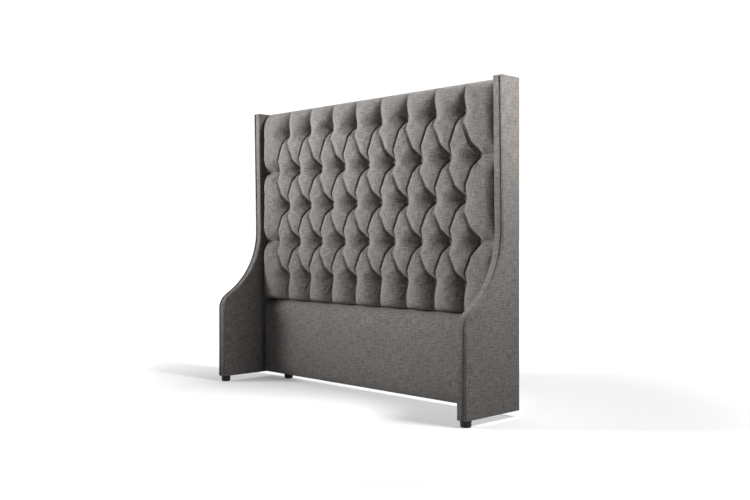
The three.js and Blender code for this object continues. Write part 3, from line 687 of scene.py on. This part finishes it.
def wing_outline(bm, wings, x, steps=28):
    """Draws a wing's side view at x, from the back at the floor round the front to the top.

    Returns its points in order and the face that they close."""
    shoulder = Vector((WING_FRONT - wings.shoulder_radius, wings.shoulder_height))
    waist = Vector((wings.waist_depth + wings.waist_radius, wings.waist_height))
    between = waist - shoulder
    reach = wings.shoulder_radius + wings.waist_radius
    slope = math.atan2(between.y, between.x) - math.acos(reach / between.length)
    hollow = waist - wings.waist_radius * Vector((math.cos(slope), math.sin(slope)))

    def place(point):
        return Vector((x, BACK - point[0], point[1]))

    chain = [bm.verts.new(place((0, WING_BOTTOM)))]

    def line_to(point):
        chain.append(bm.verts.new(place(point)))
        bm.edges.new(chain[-2:])

    def arc_about(centre, angle):
        before = set(bm.verts)
        bmesh.ops.spin(
            bm,
            geom=[chain[-1]],
            cent=place(centre),
            axis=(-1, 0, 0),
            angle=angle,
            steps=steps,
            use_merge=False,
            use_duplicate=False,
        )
        chain.extend(sorted(set(bm.verts) - before, key=lambda vert: vert.co.z))

    line_to((WING_FRONT, WING_BOTTOM))
    line_to((WING_FRONT, wings.shoulder_height))
    arc_about(shoulder, slope)
    line_to(hollow)
    arc_about(waist, -slope)
    line_to((wings.top_depth, TOP))
    line_to((0, TOP))
    bm.edges.new((chain[-1], chain[0]))
    face = bmesh.ops.contextual_create(bm, geom=bm.edges)["faces"][0]
    return [vert.co.copy() for vert in chain], face


def on_plane(edge, x):
    """True for an edge that lies at x."""
    return all(abs(vert.co.x - x) < GAP / 2 for vert in edge.verts)


def on_straight_side(edge):
    """True for an edge on the top, bottom or rear side of a wing's outline."""
    ends = [(BACK - vert.co.y, vert.co.z) for vert in edge.verts]
    return (
        all(depth < GAP for depth, _ in ends)
        or all(abs(z - WING_BOTTOM) < GAP for _, z in ends)
        or all(abs(z - TOP) < GAP for _, z in ends)
    )


def round_edges(bm, edges, radius):
    """Rounds edges to a radius."""
    bmesh.ops.bevel(
        bm,
        geom=edges,
        offset=radius,
        offset_type="OFFSET",
        segments=5,
        profile=0.5,
        affect="EDGES",
        clamp_overlap=True,
        material=-1,
    )


def widest_face(bm, x):
    """The largest face that lies at x."""
    flat = [face for face in bm.faces if all(abs(vert.co.x - x) < GAP / 2 for vert in face.verts)]
    return max(flat, key=bmesh.types.BMFace.calc_area)


def wing_tray(name, wings, face_x, mouth_x, face_round, mouth_round):
    """Half of a wing's upholstery: a padded face at face_x with a rim that reaches to mouth_x."""
    bm = bmesh.new()
    outline, face = wing_outline(bm, wings, face_x)
    made = bmesh.ops.extrude_face_region(bm, geom=[face], use_keep_orig=True)["geom"]
    for vert in (item for item in made if isinstance(item, bmesh.types.BMVert)):
        vert.co.x = mouth_x
    bmesh.ops.recalc_face_normals(bm, faces=bm.faces)
    for x, front_round in ((face_x, face_round), (mouth_x, mouth_round)):
        for straight, radius in ((False, front_round), (True, wings.edge_round)):
            edges = [e for e in bm.edges if on_plane(e, x) and on_straight_side(e) == straight]
            round_edges(bm, edges, radius)
    flat_side = widest_face(bm, face_x)
    bmesh.ops.inset_region(bm, faces=[flat_side], thickness=WING_INSET, use_even_offset=True)
    hollow_out(bm, wings, face_x, mouth_x, mouth_round)
    bmesh.ops.recalc_face_normals(bm, faces=bm.faces)
    lay_wing_weave(bm, outline)
    return object_from(bm, name)


def hollow_out(bm, wings, face_x, mouth_x, mouth_round):
    """Cuts the space for the wing's frame into a tray, open at the mouth."""
    mouth = widest_face(bm, mouth_x)
    bmesh.ops.inset_region(bm, faces=[mouth], thickness=wings.rim - mouth_round, use_even_offset=True)
    for vert in mouth.verts:
        if BACK - vert.co.y < 1.5 * wings.rim:
            vert.co.y = BACK - wings.edge_round - GAP
    made = bmesh.ops.extrude_face_region(bm, geom=[mouth])["geom"]
    inward = math.copysign(wings.skin, mouth_x - face_x)
    for vert in (item for item in made if isinstance(item, bmesh.types.BMVert)):
        vert.co.x = face_x + inward
    bmesh.ops.delete(bm, geom=[mouth], context="FACES_ONLY")


def lay_wing_weave(bm, outline):
    """UVs in metres: flat on the wing's faces, and along its edge on the border."""
    route = np.array([(BACK - p.y, p.z) for p in outline])
    steps = np.hypot(*np.diff(route, axis=0).T)
    lengths = np.concatenate([[0], np.cumsum(steps)])
    bm.normal_update()
    uv = bm.loops.layers.uv.verify()
    for face in bm.faces:
        flat = abs(face.normal.x) > 0.7
        for loop in face.loops:
            x, y, z = loop.vert.co
            if flat:
                loop[uv].uv = (y, z)
                continue
            reach = np.hypot(route[:, 0] - BACK + y, route[:, 1] - z)
            nearest = int(np.argmin(reach))
            ahead = min(nearest + 1, len(route) - 1)
            along = Vector((route[ahead] - route[ahead - 1])).normalized()
            offset = Vector((BACK - y, z)) - Vector(route[nearest])
            loop[uv].uv = (x, lengths[nearest] + offset.dot(along))


def wing_upholstery(wings, side_name, material):
    """The inner and outer halves of one wing's upholstery, sewn together at the border's seam."""
    side = SIDES[side_name]
    seam_x = WING_INNER + wings.border
    inner = wing_tray(
        f"{side_name}_wing_inner_pad",
        wings,
        face_x=side * WING_INNER,
        mouth_x=side * seam_x,
        face_round=wings.inner_round,
        mouth_round=wings.border_round,
    )
    outer = wing_tray(
        f"{side_name}_wing_outer_pad",
        wings,
        face_x=side * WING_OUTER,
        mouth_x=side * (seam_x + GAP),
        face_round=wings.outer_round,
        mouth_round=wings.seam_round,
    )
    finish_piece(inner, material, "linen", f"{side_name}_wing_inner_foam")
    finish_piece(outer, material, "linen", f"{side_name}_wing_outer_foam", f"{side_name}_wing_cover")


# ---- Back, wrap and feet ----


def hem_ring(bm, ring, inset, depth):
    """Carries a ring of edges on to a rectangle that lies `inset` inside the panel's outline."""
    made = bmesh.ops.extrude_edge_only(bm, edges=ring)["geom"]
    middle = (TOP + PANEL_BOTTOM) / 2
    for vert in (item for item in made if isinstance(item, bmesh.types.BMVert)):
        z = TOP - inset if vert.co.z > middle else PANEL_BOTTOM + inset
        vert.co = Vector((math.copysign(PANEL_HALF - inset, vert.co.x), BACK - depth, z))
    return [item for item in made if isinstance(item, bmesh.types.BMEdge)]


def panel_wrap(wrap, material):
    """The strip of cover that wraps round the centre frame and is folded onto its back."""
    bm = bmesh.new()
    bmesh.ops.create_grid(bm, x_segments=1, y_segments=1, size=1)
    for vert in bm.verts:
        z = TOP if vert.co.y > 0 else PANEL_BOTTOM
        vert.co = Vector((math.copysign(PANEL_HALF, vert.co.x), BACK - BOARD_DEPTH + GAP, z))
    bmesh.ops.delete(bm, geom=list(bm.faces), context="FACES_ONLY")
    ring = list(bm.edges)
    turn = wrap.turn
    for inset, depth in (
        (0, turn + wrap.hem_depth),
        (0.3 * turn, 0.3 * turn + wrap.hem_depth),
        (turn, wrap.hem_depth),
        (wrap.hem, wrap.hem_depth),
    ):
        ring = hem_ring(bm, ring, inset, depth)
    bmesh.ops.recalc_face_normals(bm, faces=bm.faces)
    uv = bm.loops.layers.uv.verify()
    for face in bm.faces:
        for loop in face.loops:
            x, y, z = loop.vert.co
            loop[uv].uv = (x + y, z + y)
    piece = object_from(bm, "panel_wrap")
    thickness = piece.modifiers.new("cloth", "SOLIDIFY")
    thickness.thickness = wrap.cloth
    thickness.offset = -1
    return finish_piece(piece, material, "linen")


def frame_members():
    """The outlines (x, z) of the timbers that the dust cloth lies on."""
    names = sorted(name for name in frame["nodes"] if name.startswith("panel_"))
    return [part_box(name) for name in names if name.split("_")[-1] in TIMBERS]


def back_lining(wrap, material):
    """Dust cloth stretched over the open back, sagging a little between the timbers."""
    low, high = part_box("back_lining")
    members = frame_members()
    bm = bmesh.new()
    bmesh.ops.create_grid(bm, x_segments=150, y_segments=130, size=0.5, calc_uvs=True)
    uv = bm.loops.layers.uv.verify()
    width, height = high.x - low.x - 2 * wrap.lining_inset, high.z - low.z - 2 * wrap.lining_inset
    for vert in bm.verts:
        x, z = vert.co.x * width, (low.z + high.z) / 2 + vert.co.y * height
        clear = min(
            math.hypot(max(a.x - x, 0, x - b.x), max(a.z - z, 0, z - b.z)) for a, b in members
        )
        sag = wrap.lining_sag * float(smooth_step(clear / wrap.sag_reach))
        vert.co = Vector((x, BACK - GAP / 2 - sag, z))
    for face in bm.faces:
        for loop in face.loops:
            loop[uv].uv = (loop.vert.co.x, loop.vert.co.z)
    bmesh.ops.recalc_face_normals(bm, faces=bm.faces)
    bmesh.ops.reverse_faces(bm, faces=[f for f in bm.faces if f.normal.y < 0])
    piece = object_from(bm, "back_dust_cloth")
    thickness = piece.modifiers.new("cloth", "SOLIDIFY")
    thickness.thickness = GAP
    thickness.offset = -1
    finish_piece(piece, material, "lining", "back_lining")
    return piece


def lining_staples(wrap, material):
    """Staples that hold the dust cloth all round."""
    low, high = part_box("back_lining")
    edge = wrap.lining_inset + wrap.staple_inset
    left, right, bottom, top = low.x + edge, high.x - edge, low.z + edge, high.z - edge
    across, up = round((right - left) / wrap.staple_spacing), round((top - bottom) / wrap.staple_spacing)
    places = [(left + (right - left) * i / across, z, 0) for i in range(across + 1) for z in (bottom, top)]
    places += [(x, bottom + (top - bottom) * i / up, 1) for i in range(1, up) for x in (left, right)]
    bm = bmesh.new()
    for x, z, upright in places:
        bar = bmesh.ops.create_cube(bm, size=1)["verts"]
        wide, tall = (STAPLE_WIRE, STAPLE_LENGTH) if upright else (STAPLE_LENGTH, STAPLE_WIRE)
        bmesh.ops.scale(bm, vec=(wide, STAPLE_PROUD, tall), verts=bar)
        bmesh.ops.translate(bm, vec=(x, BACK + GAP / 2, z), verts=bar)
    bmesh.ops.bevel(
        bm,
        geom=bm.edges,
        offset=STAPLE_ROUND,
        segments=1,
        profile=0.5,
        affect="EDGES",
        clamp_overlap=True,
        material=-1,
    )
    return finish_piece(object_from(bm, "lining_staples"), material, "zinc")


def round_foot(name, material):
    """A turned foot with a rounded sole edge and a counterbore."""
    low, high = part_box(name)
    radius, height = (high.x - low.x) / 2, high.z - low.z
    profile = [
        (0.0068, 0.0012),
        (0.0082, 0),
        (radius - 0.0075, 0),
        (radius - 0.0042, 0.0008),
        (radius - 0.0022, 0.0028),
        (radius - 0.0014, 0.0060),
        (radius - 0.0003, height - 0.0020),
        (radius - 0.0008, height - 0.0006),
        (radius - 0.0020, height),
        (0.0035, height),
        (0.0035, height - 0.0080),
        (0.0068, height - 0.0080),
    ]
    bm = bmesh.new()
    verts = [bm.verts.new((r, 0, z)) for r, z in profile]
    edges = [bm.edges.new((a, b)) for a, b in zip(verts, verts[1:] + verts[:1])]
    bmesh.ops.spin(
        bm, geom=verts + edges, cent=(0, 0, 0), axis=(0, 0, 1), angle=math.tau, steps=48, use_merge=True
    )
    bmesh.ops.remove_doubles(bm, verts=bm.verts, dist=1e-5)
    bmesh.ops.translate(bm, verts=bm.verts, vec=((low.x + high.x) / 2, (low.y + high.y) / 2, low.z))
    bmesh.ops.recalc_face_normals(bm, faces=bm.faces)
    return finish_piece(object_from(bm, f"{name}_turned"), material, "feet", name)


# ---- Finishes ----


def new_material(name):
    """A new node material, its tree and its Principled shader."""
    material = bpy.data.materials.new(name)
    material.use_nodes = True
    tree = material.node_tree
    shader = tree.nodes["Principled BSDF"]
    return material, tree, shader


def node(tree, kind, **settings):
    """Adds a node and sets its sockets and its options by name."""
    made = tree.nodes.new(kind)
    for key, value in settings.items():
        if key in made.inputs:
            made.inputs[key].default_value = value
        else:
            setattr(made, key, value)
    return made


def coordinates(tree, source, scale, turn=(0, 0, 0)):
    """Pattern coordinates: the piece's UVs or its Object coordinates, stretched by scale."""
    origin = node(tree, "ShaderNodeTexCoord")
    mapping = node(tree, "ShaderNodeMapping", Scale=scale, Rotation=turn)
    tree.links.new(origin.outputs[source], mapping.inputs["Vector"])
    return mapping.outputs["Vector"]


def noise(tree, vector, scale, detail=3.0, roughness=0.55):
    """A cloudy factor from 0 to 1."""
    made = node(tree, "ShaderNodeTexNoise", Scale=scale, Detail=detail, Roughness=roughness)
    tree.links.new(vector, made.inputs["Vector"])
    return made.outputs["Fac"]


def ramp(tree, factor, low, high, dark, light):
    """Colours a factor from dark at low to light at high."""
    made = node(tree, "ShaderNodeValToRGB")
    made.color_ramp.elements[0].position = low
    made.color_ramp.elements[1].position = high
    made.color_ramp.elements[0].color = (*dark, 1)
    made.color_ramp.elements[1].color = (*light, 1)
    tree.links.new(factor, made.inputs["Fac"])
    return made.outputs["Color"]


def blend_colours(tree, kind, factor, first, second):
    """Two colours blended in one of Blender's ways."""
    made = node(tree, "ShaderNodeMix", data_type="RGBA", blend_type=kind)
    made.inputs["Factor"].default_value = factor
    tree.links.new(first, made.inputs[6])
    tree.links.new(second, made.inputs[7])
    return made.outputs[2]


def worked_out(tree, kind, first, second):
    """One sum or product of two values, either of which may be a plain number."""
    made = node(tree, "ShaderNodeMath", operation=kind)
    for value, socket in zip((first, second), made.inputs):
        if isinstance(value, (int, float)):
            socket.default_value = value
        else:
            tree.links.new(value, socket)
    return made.outputs["Value"]


def bump(tree, shader, height, distance, strength=1.0, under=None):
    """Gives a shader's surface relief from a height, over another relief if there is one."""
    made = node(tree, "ShaderNodeBump", Strength=strength, Distance=distance)
    tree.links.new(height, made.inputs["Height"])
    if under is not None:
        tree.links.new(under, made.inputs["Normal"])
    tree.links.new(made.outputs["Normal"], shader.inputs["Normal"])
    return made.outputs["Normal"]


def threads(tree, vector, direction, pitch):
    """Parallel yarns across a direction, one to each pitch."""
    made = node(tree, "ShaderNodeTexWave", wave_type="BANDS", bands_direction=direction, wave_profile="SIN")
    made.inputs["Scale"].default_value = 2 * math.pi / (20 * pitch)
    made.inputs["Distortion"].default_value = 1.6
    made.inputs["Detail"].default_value = 2
    made.inputs["Detail Scale"].default_value = 60
    tree.links.new(vector, made.inputs["Vector"])
    return made.outputs["Fac"]


def linen(colours):
    """Grey linen-look weave: uneven yarns each way, long slubs across and a soft nap."""
    material, tree, shader = new_material("linen_weave")
    flat = coordinates(tree, "UV", (1, 1, 1))
    weft = threads(tree, flat, "Y", 0.0014)
    warp = threads(tree, flat, "X", 0.0016)
    weave = worked_out(tree, "MULTIPLY", weft, warp)
    slubs = noise(tree, coordinates(tree, "UV", (24, 250, 1)), 1.0, 4.0, 0.65)
    streaks = noise(tree, coordinates(tree, "UV", (230, 24, 1)), 1.0, 3.0, 0.65)
    uneven = worked_out(tree, "ADD", slubs, worked_out(tree, "MULTIPLY", streaks, 0.7))
    mixed = worked_out(tree, "MULTIPLY", uneven, 1 / 1.7)
    yarn = ramp(tree, mixed, 0.36, 0.64, colours.linen_dark, colours.linen_light)
    cloudy = ramp(tree, noise(tree, flat, 5.0, 2.0), 0.25, 0.75, (0.86, 0.86, 0.86), (1.0, 0.99, 0.985))
    toned = blend_colours(tree, "MULTIPLY", 1.0, yarn, cloudy)
    gaps = ramp(tree, weave, 0.0, 0.45, (0.62, 0.62, 0.62), (1, 1, 1))
    colour_out = blend_colours(tree, "MULTIPLY", 0.6, toned, gaps)
    tree.links.new(colour_out, shader.inputs["Base Color"])
    shader.inputs["Roughness"].default_value = 0.92
    shader.inputs["Specular IOR Level"].default_value = 0.08
    shader.inputs["Sheen Weight"].default_value = 0.05
    shader.inputs["Sheen Roughness"].default_value = 0.45
    shader.inputs["Sheen Tint"].default_value = (0.9, 0.88, 0.87, 1)
    soft = node(tree, "ShaderNodeBump", Strength=0.6, Distance=0.0008)
    tree.links.new(mixed, soft.inputs["Height"])
    bump(tree, shader, weave, 0.0004, 0.7, soft.outputs["Normal"])
    return material


def lining_cloth(colours):
    """Black non-woven cloth with pressed dimples and loose fibres."""
    material, tree, shader = new_material("dust_cloth")
    flat = coordinates(tree, "UV", (1, 1, 1))
    fibres = noise(tree, coordinates(tree, "UV", (300, 700, 1)), 1.0, 4.0, 0.7)
    light = tuple(2.4 * value for value in colours.lining)
    tree.links.new(ramp(tree, fibres, 0.35, 0.7, colours.lining, light), shader.inputs["Base Color"])
    dimples = node(tree, "ShaderNodeTexVoronoi", Scale=380)
    tree.links.new(flat, dimples.inputs["Vector"])
    shader.inputs["Roughness"].default_value = 0.85
    bump(tree, shader, dimples.outputs["Distance"], 0.0003, 0.8)
    return material


def wood(name, tint, along, band):
    """Sawn softwood or plywood: grain streaks along one axis, with darker late wood."""
    material, tree, shader = new_material(name)
    stretch = [band, band, band]
    stretch["XYZ".index(along)] = band / 18
    vector = coordinates(tree, "Object", stretch)
    streak = noise(tree, vector, 1.0, 5.0, 0.6)
    dark = tuple(0.55 * value for value in tint)
    tree.links.new(ramp(tree, streak, 0.35, 0.68, dark, tint), shader.inputs["Base Color"])
    rough = ramp(tree, streak, 0.3, 0.7, (0.75, 0.75, 0.75), (0.5, 0.5, 0.5))
    tree.links.new(rough, shader.inputs["Roughness"])
    bump(tree, shader, streak, 0.0006, 0.5)
    return material


def plated_steel(colours):
    """Bright zinc plating with a faint mottle."""
    material, tree, shader = new_material("zinc_plate")
    mottle = noise(tree, coordinates(tree, "Object", (1, 1, 1)), 260, 4.0)
    dark = tuple(0.7 * value for value in colours.zinc)
    tree.links.new(ramp(tree, mottle, 0.3, 0.7, dark, colours.zinc), shader.inputs["Base Color"])
    tree.links.new(
        ramp(tree, mottle, 0.3, 0.7, (0.42, 0.42, 0.42), (0.22, 0.22, 0.22)), shader.inputs["Roughness"]
    )
    shader.inputs["Metallic"].default_value = 1.0
    bump(tree, shader, mottle, 0.0001, 0.4)
    return material


def moulded_plastic(colours):
    """Black plastic with a fine moulded grain and paler scuffs."""
    material, tree, shader = new_material("foot_plastic")
    here = coordinates(tree, "Object", (1, 1, 1))
    scuffs = noise(tree, here, 90, 5.0, 0.7)
    light = tuple(2.5 * value for value in colours.foot)
    tree.links.new(ramp(tree, scuffs, 0.45, 0.8, colours.foot, light), shader.inputs["Base Color"])
    tree.links.new(
        ramp(tree, scuffs, 0.3, 0.7, (0.38, 0.38, 0.38), (0.6, 0.6, 0.6)), shader.inputs["Roughness"]
    )
    shader.inputs["Specular IOR Level"].default_value = 0.25
    grain = noise(tree, here, 1500, 2.0)
    bump(tree, shader, grain, 0.0001, 0.6)
    return material


def waxed_twine(colours):
    """Twisted twine."""
    material, tree, shader = new_material("waxed_twine")
    twist = node(tree, "ShaderNodeTexWave", bands_direction="DIAGONAL", Scale=180, Distortion=1.0)
    tree.links.new(coordinates(tree, "Object", (1, 1, 1)), twist.inputs["Vector"])
    dark = tuple(0.6 * value for value in colours.twine)
    tinted = ramp(tree, twist.outputs["Fac"], 0.2, 0.8, dark, colours.twine)
    tree.links.new(tinted, shader.inputs["Base Color"])
    shader.inputs["Roughness"].default_value = 0.6
    bump(tree, shader, twist.outputs["Fac"], 0.0004, 0.8)
    return material


def studio_floor(studio_settings, colours):
    """Pale seamless paper with a painted glow: dimmer under the headboard as painted shade, and bright
    further out.
    """
    material, tree, shader = new_material("studio_floor")
    here = coordinates(tree, "Object", (1, 1, 1))
    tone = noise(tree, here, 0.6, 2.0)
    dim = tuple(0.985 * value for value in colours.floor)
    tree.links.new(ramp(tree, tone, 0.2, 0.8, dim, colours.floor), shader.inputs["Base Color"])
    shader.inputs["Roughness"].default_value = 0.9
    shader.inputs["Specular IOR Level"].default_value = 0.1
    away = node(tree, "ShaderNodeVectorMath", operation="LENGTH")
    tree.links.new(here, away.inputs[0])
    near, far = (3 * (value,) for value in (studio_settings.near_glow_painted_shade, studio_settings.far_glow))
    share = worked_out(tree, "MULTIPLY", away.outputs["Value"], 1 / GLOW_REACH)
    # painted shade: the floor's glow is dim near the headboard and bright further out
    glow = ramp(tree, share, GLOW_START / GLOW_REACH, GLOW_END / GLOW_REACH, near, far)
    tree.links.new(glow, shader.inputs["Emission Color"])
    shader.inputs["Emission Strength"].default_value = 1
    return material


def dress_frame(colours):
    """Gives every node of the frame that stays its finish."""
    along_x = {"timber": wood("pine_along", colours.pine, "X", 45)}
    upright = {"timber": wood("pine_upright", colours.pine, "Z", 45)}
    ply = wood("birch_plywood", colours.plywood, "Z", 30)
    shared = {
        "plywood": ply,
        "zinc": plated_steel(colours),
        "twine": waxed_twine(colours),
        "feet": moulded_plastic(colours),
    }
    for entry in frame["record"]["subparts"]:
        name, slot = entry["node"], entry["material_slot"]
        low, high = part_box(name)
        grain = upright if high.z - low.z > high.x - low.x else along_x
        material = shared.get(slot) or grain.get(slot)
        if material is None:
            continue
        mesh = frame["nodes"][name].data
        mesh.materials.clear()
        mesh.materials.append(material)


# ---- Studio ----


def area_light(name, power, size, place, aim, spread):
    """A rectangular lamp at a place, turned to a point."""
    data = bpy.data.lights.new(name, "AREA")
    data.energy = power
    data.spread = spread
    data.shape = "RECTANGLE"
    data.size, data.size_y = size
    lamp = bpy.data.objects.new(name, data)
    lamp.location = place
    lamp.rotation_euler = (Vector(aim) - Vector(place)).to_track_quat("-Z", "Y").to_euler()
    bpy.context.scene.collection.objects.link(lamp)


def surroundings(settings):
    """White paper behind the headboard and a dimmer room in front of it."""
    world = bpy.data.worlds.new("surroundings")
    world.use_nodes = True
    tree = world.node_tree
    direction = node(tree, "ShaderNodeTexCoord").outputs["Generated"]
    parts = node(tree, "ShaderNodeSeparateXYZ")
    tree.links.new(direction, parts.inputs["Vector"])
    behind = node(tree, "ShaderNodeMapRange")
    limits = {"From Min": 0.0, "From Max": 0.3, "To Min": settings.sky, "To Max": settings.paper}
    for name, value in limits.items():
        behind.inputs[name].default_value = value
    tree.links.new(parts.outputs["Y"], behind.inputs["Value"])
    tree.links.new(behind.outputs["Result"], tree.nodes["Background"].inputs["Strength"])
    tree.nodes["Background"].inputs["Color"].default_value = (1, 1, 1, 1)
    return world


def studio(settings, colours):
    """Floor, lights, surroundings and camera."""
    bm = bmesh.new()
    bmesh.ops.create_grid(bm, x_segments=8, y_segments=8, size=FLOOR_REACH)
    floor = object_from(bm, "studio_floor")
    floor.data.materials.append(studio_floor(settings, colours))
    area_light("key", settings.key, **KEY_LIGHT)
    area_light("side", settings.side, **SIDE_LIGHT)
    scene = bpy.context.scene
    scene.world = surroundings(settings)
    scene.view_settings.view_transform = "Standard"
    data = bpy.data.cameras.new("camera")
    data.lens = settings.lens
    data.shift_y = settings.shift
    camera = bpy.data.objects.new("camera", data)
    camera.location = settings.place
    camera.rotation_euler = (math.pi / 2, 0, settings.turn)
    scene.collection.objects.link(camera)
    scene.camera = camera


# ---- Operators ----


class HEADBOARD_OT_stage(bpy.types.Operator):
    """Set up the floor, the lights and the camera"""

    bl_idname = "headboard.stage"
    bl_label = "Stage"

    def execute(self, context):
        scene = context.scene
        studio(scene.headboard_studio, scene.headboard_colours)
        return {"FINISHED"}


class HEADBOARD_OT_frame_finishes(bpy.types.Operator):
    """Finish the timber, boards, hardware and twine"""

    bl_idname = "headboard.frame_finishes"
    bl_label = "Frame finishes"

    def execute(self, context):
        dress_frame(context.scene.headboard_colours)
        return {"FINISHED"}


class HEADBOARD_OT_panel(bpy.types.Operator):
    """Upholster the centre panel: tufted pad, lower pad and the strip round the frame"""

    bl_idname = "headboard.panel"
    bl_label = "Centre panel"

    def execute(self, context):
        scene = context.scene
        cloth = bpy.data.materials.get("linen_weave") or linen(scene.headboard_colours)
        tufted_pad(scene.headboard_tufting, cloth)
        lower_pad(scene.headboard_lower, cloth)
        panel_wrap(scene.headboard_back, cloth)
        return {"FINISHED"}


class HEADBOARD_OT_wings(bpy.types.Operator):
    """Upholster both wings"""

    bl_idname = "headboard.wings"
    bl_label = "Wings"

    def execute(self, context):
        scene = context.scene
        cloth = bpy.data.materials.get("linen_weave") or linen(scene.headboard_colours)
        for side_name in SIDES:
            wing_upholstery(scene.headboard_wings, side_name, cloth)
        return {"FINISHED"}


class HEADBOARD_OT_back(bpy.types.Operator):
    """Stretch the dust cloth over the back and staple it"""

    bl_idname = "headboard.back"
    bl_label = "Back"

    def execute(self, context):
        scene = context.scene
        back_lining(scene.headboard_back, lining_cloth(scene.headboard_colours))
        zinc = bpy.data.materials.get("zinc_plate") or plated_steel(scene.headboard_colours)
        lining_staples(scene.headboard_back, zinc)
        return {"FINISHED"}


class HEADBOARD_OT_feet(bpy.types.Operator):
    """Turn the round feet"""

    bl_idname = "headboard.feet"
    bl_label = "Feet"

    def execute(self, context):
        plastic = bpy.data.materials.get("foot_plastic") or moulded_plastic(context.scene.headboard_colours)
        for name in sorted(frame["nodes"]):
            if name.endswith("_foot"):
                round_foot(name, plastic)
        return {"FINISHED"}


class HEADBOARD_PT_panel(bpy.types.Panel):
    """Lists the headboard's operators and sizes"""

    bl_label = "Headboard"
    bl_idname = "HEADBOARD_PT_panel"
    bl_space_type = "VIEW_3D"
    bl_region_type = "UI"
    bl_category = "Headboard"

    def draw(self, context):
        layout = self.layout
        for operator in OPERATORS:
            layout.operator(operator.bl_idname)
        for group in SETTINGS:
            settings = getattr(context.scene, group)
            box = layout.box()
            for name in settings.bl_rna.properties.keys():
                if name not in {"rna_type", "name"}:
                    box.prop(settings, name)


OPERATORS = (
    HEADBOARD_OT_stage,
    HEADBOARD_OT_frame_finishes,
    HEADBOARD_OT_panel,
    HEADBOARD_OT_wings,
    HEADBOARD_OT_back,
    HEADBOARD_OT_feet,
)
SETTINGS = {
    "headboard_tufting": HeadboardTufting,
    "headboard_lower": HeadboardLower,
    "headboard_wings": HeadboardWings,
    "headboard_back": HeadboardBack,
    "headboard_colours": HeadboardColours,
    "headboard_studio": HeadboardStudio,
}
CLASSES = (*SETTINGS.values(), *OPERATORS, HEADBOARD_PT_panel)


def register():
    for cls in CLASSES:
        bpy.utils.register_class(cls)
    for name, group in SETTINGS.items():
        setattr(bpy.types.Scene, name, PointerProperty(type=group))


def unregister():
    for name in SETTINGS:
        delattr(bpy.types.Scene, name)
    for cls in reversed(CLASSES):
        bpy.utils.unregister_class(cls)


def main():
    register()
    bpy.ops.headboard.stage()
    bpy.ops.headboard.frame_finishes()
    bpy.ops.headboard.panel()
    bpy.ops.headboard.wings()
    bpy.ops.headboard.back()
    bpy.ops.headboard.feet()


if __name__ == "__main__":
    main()
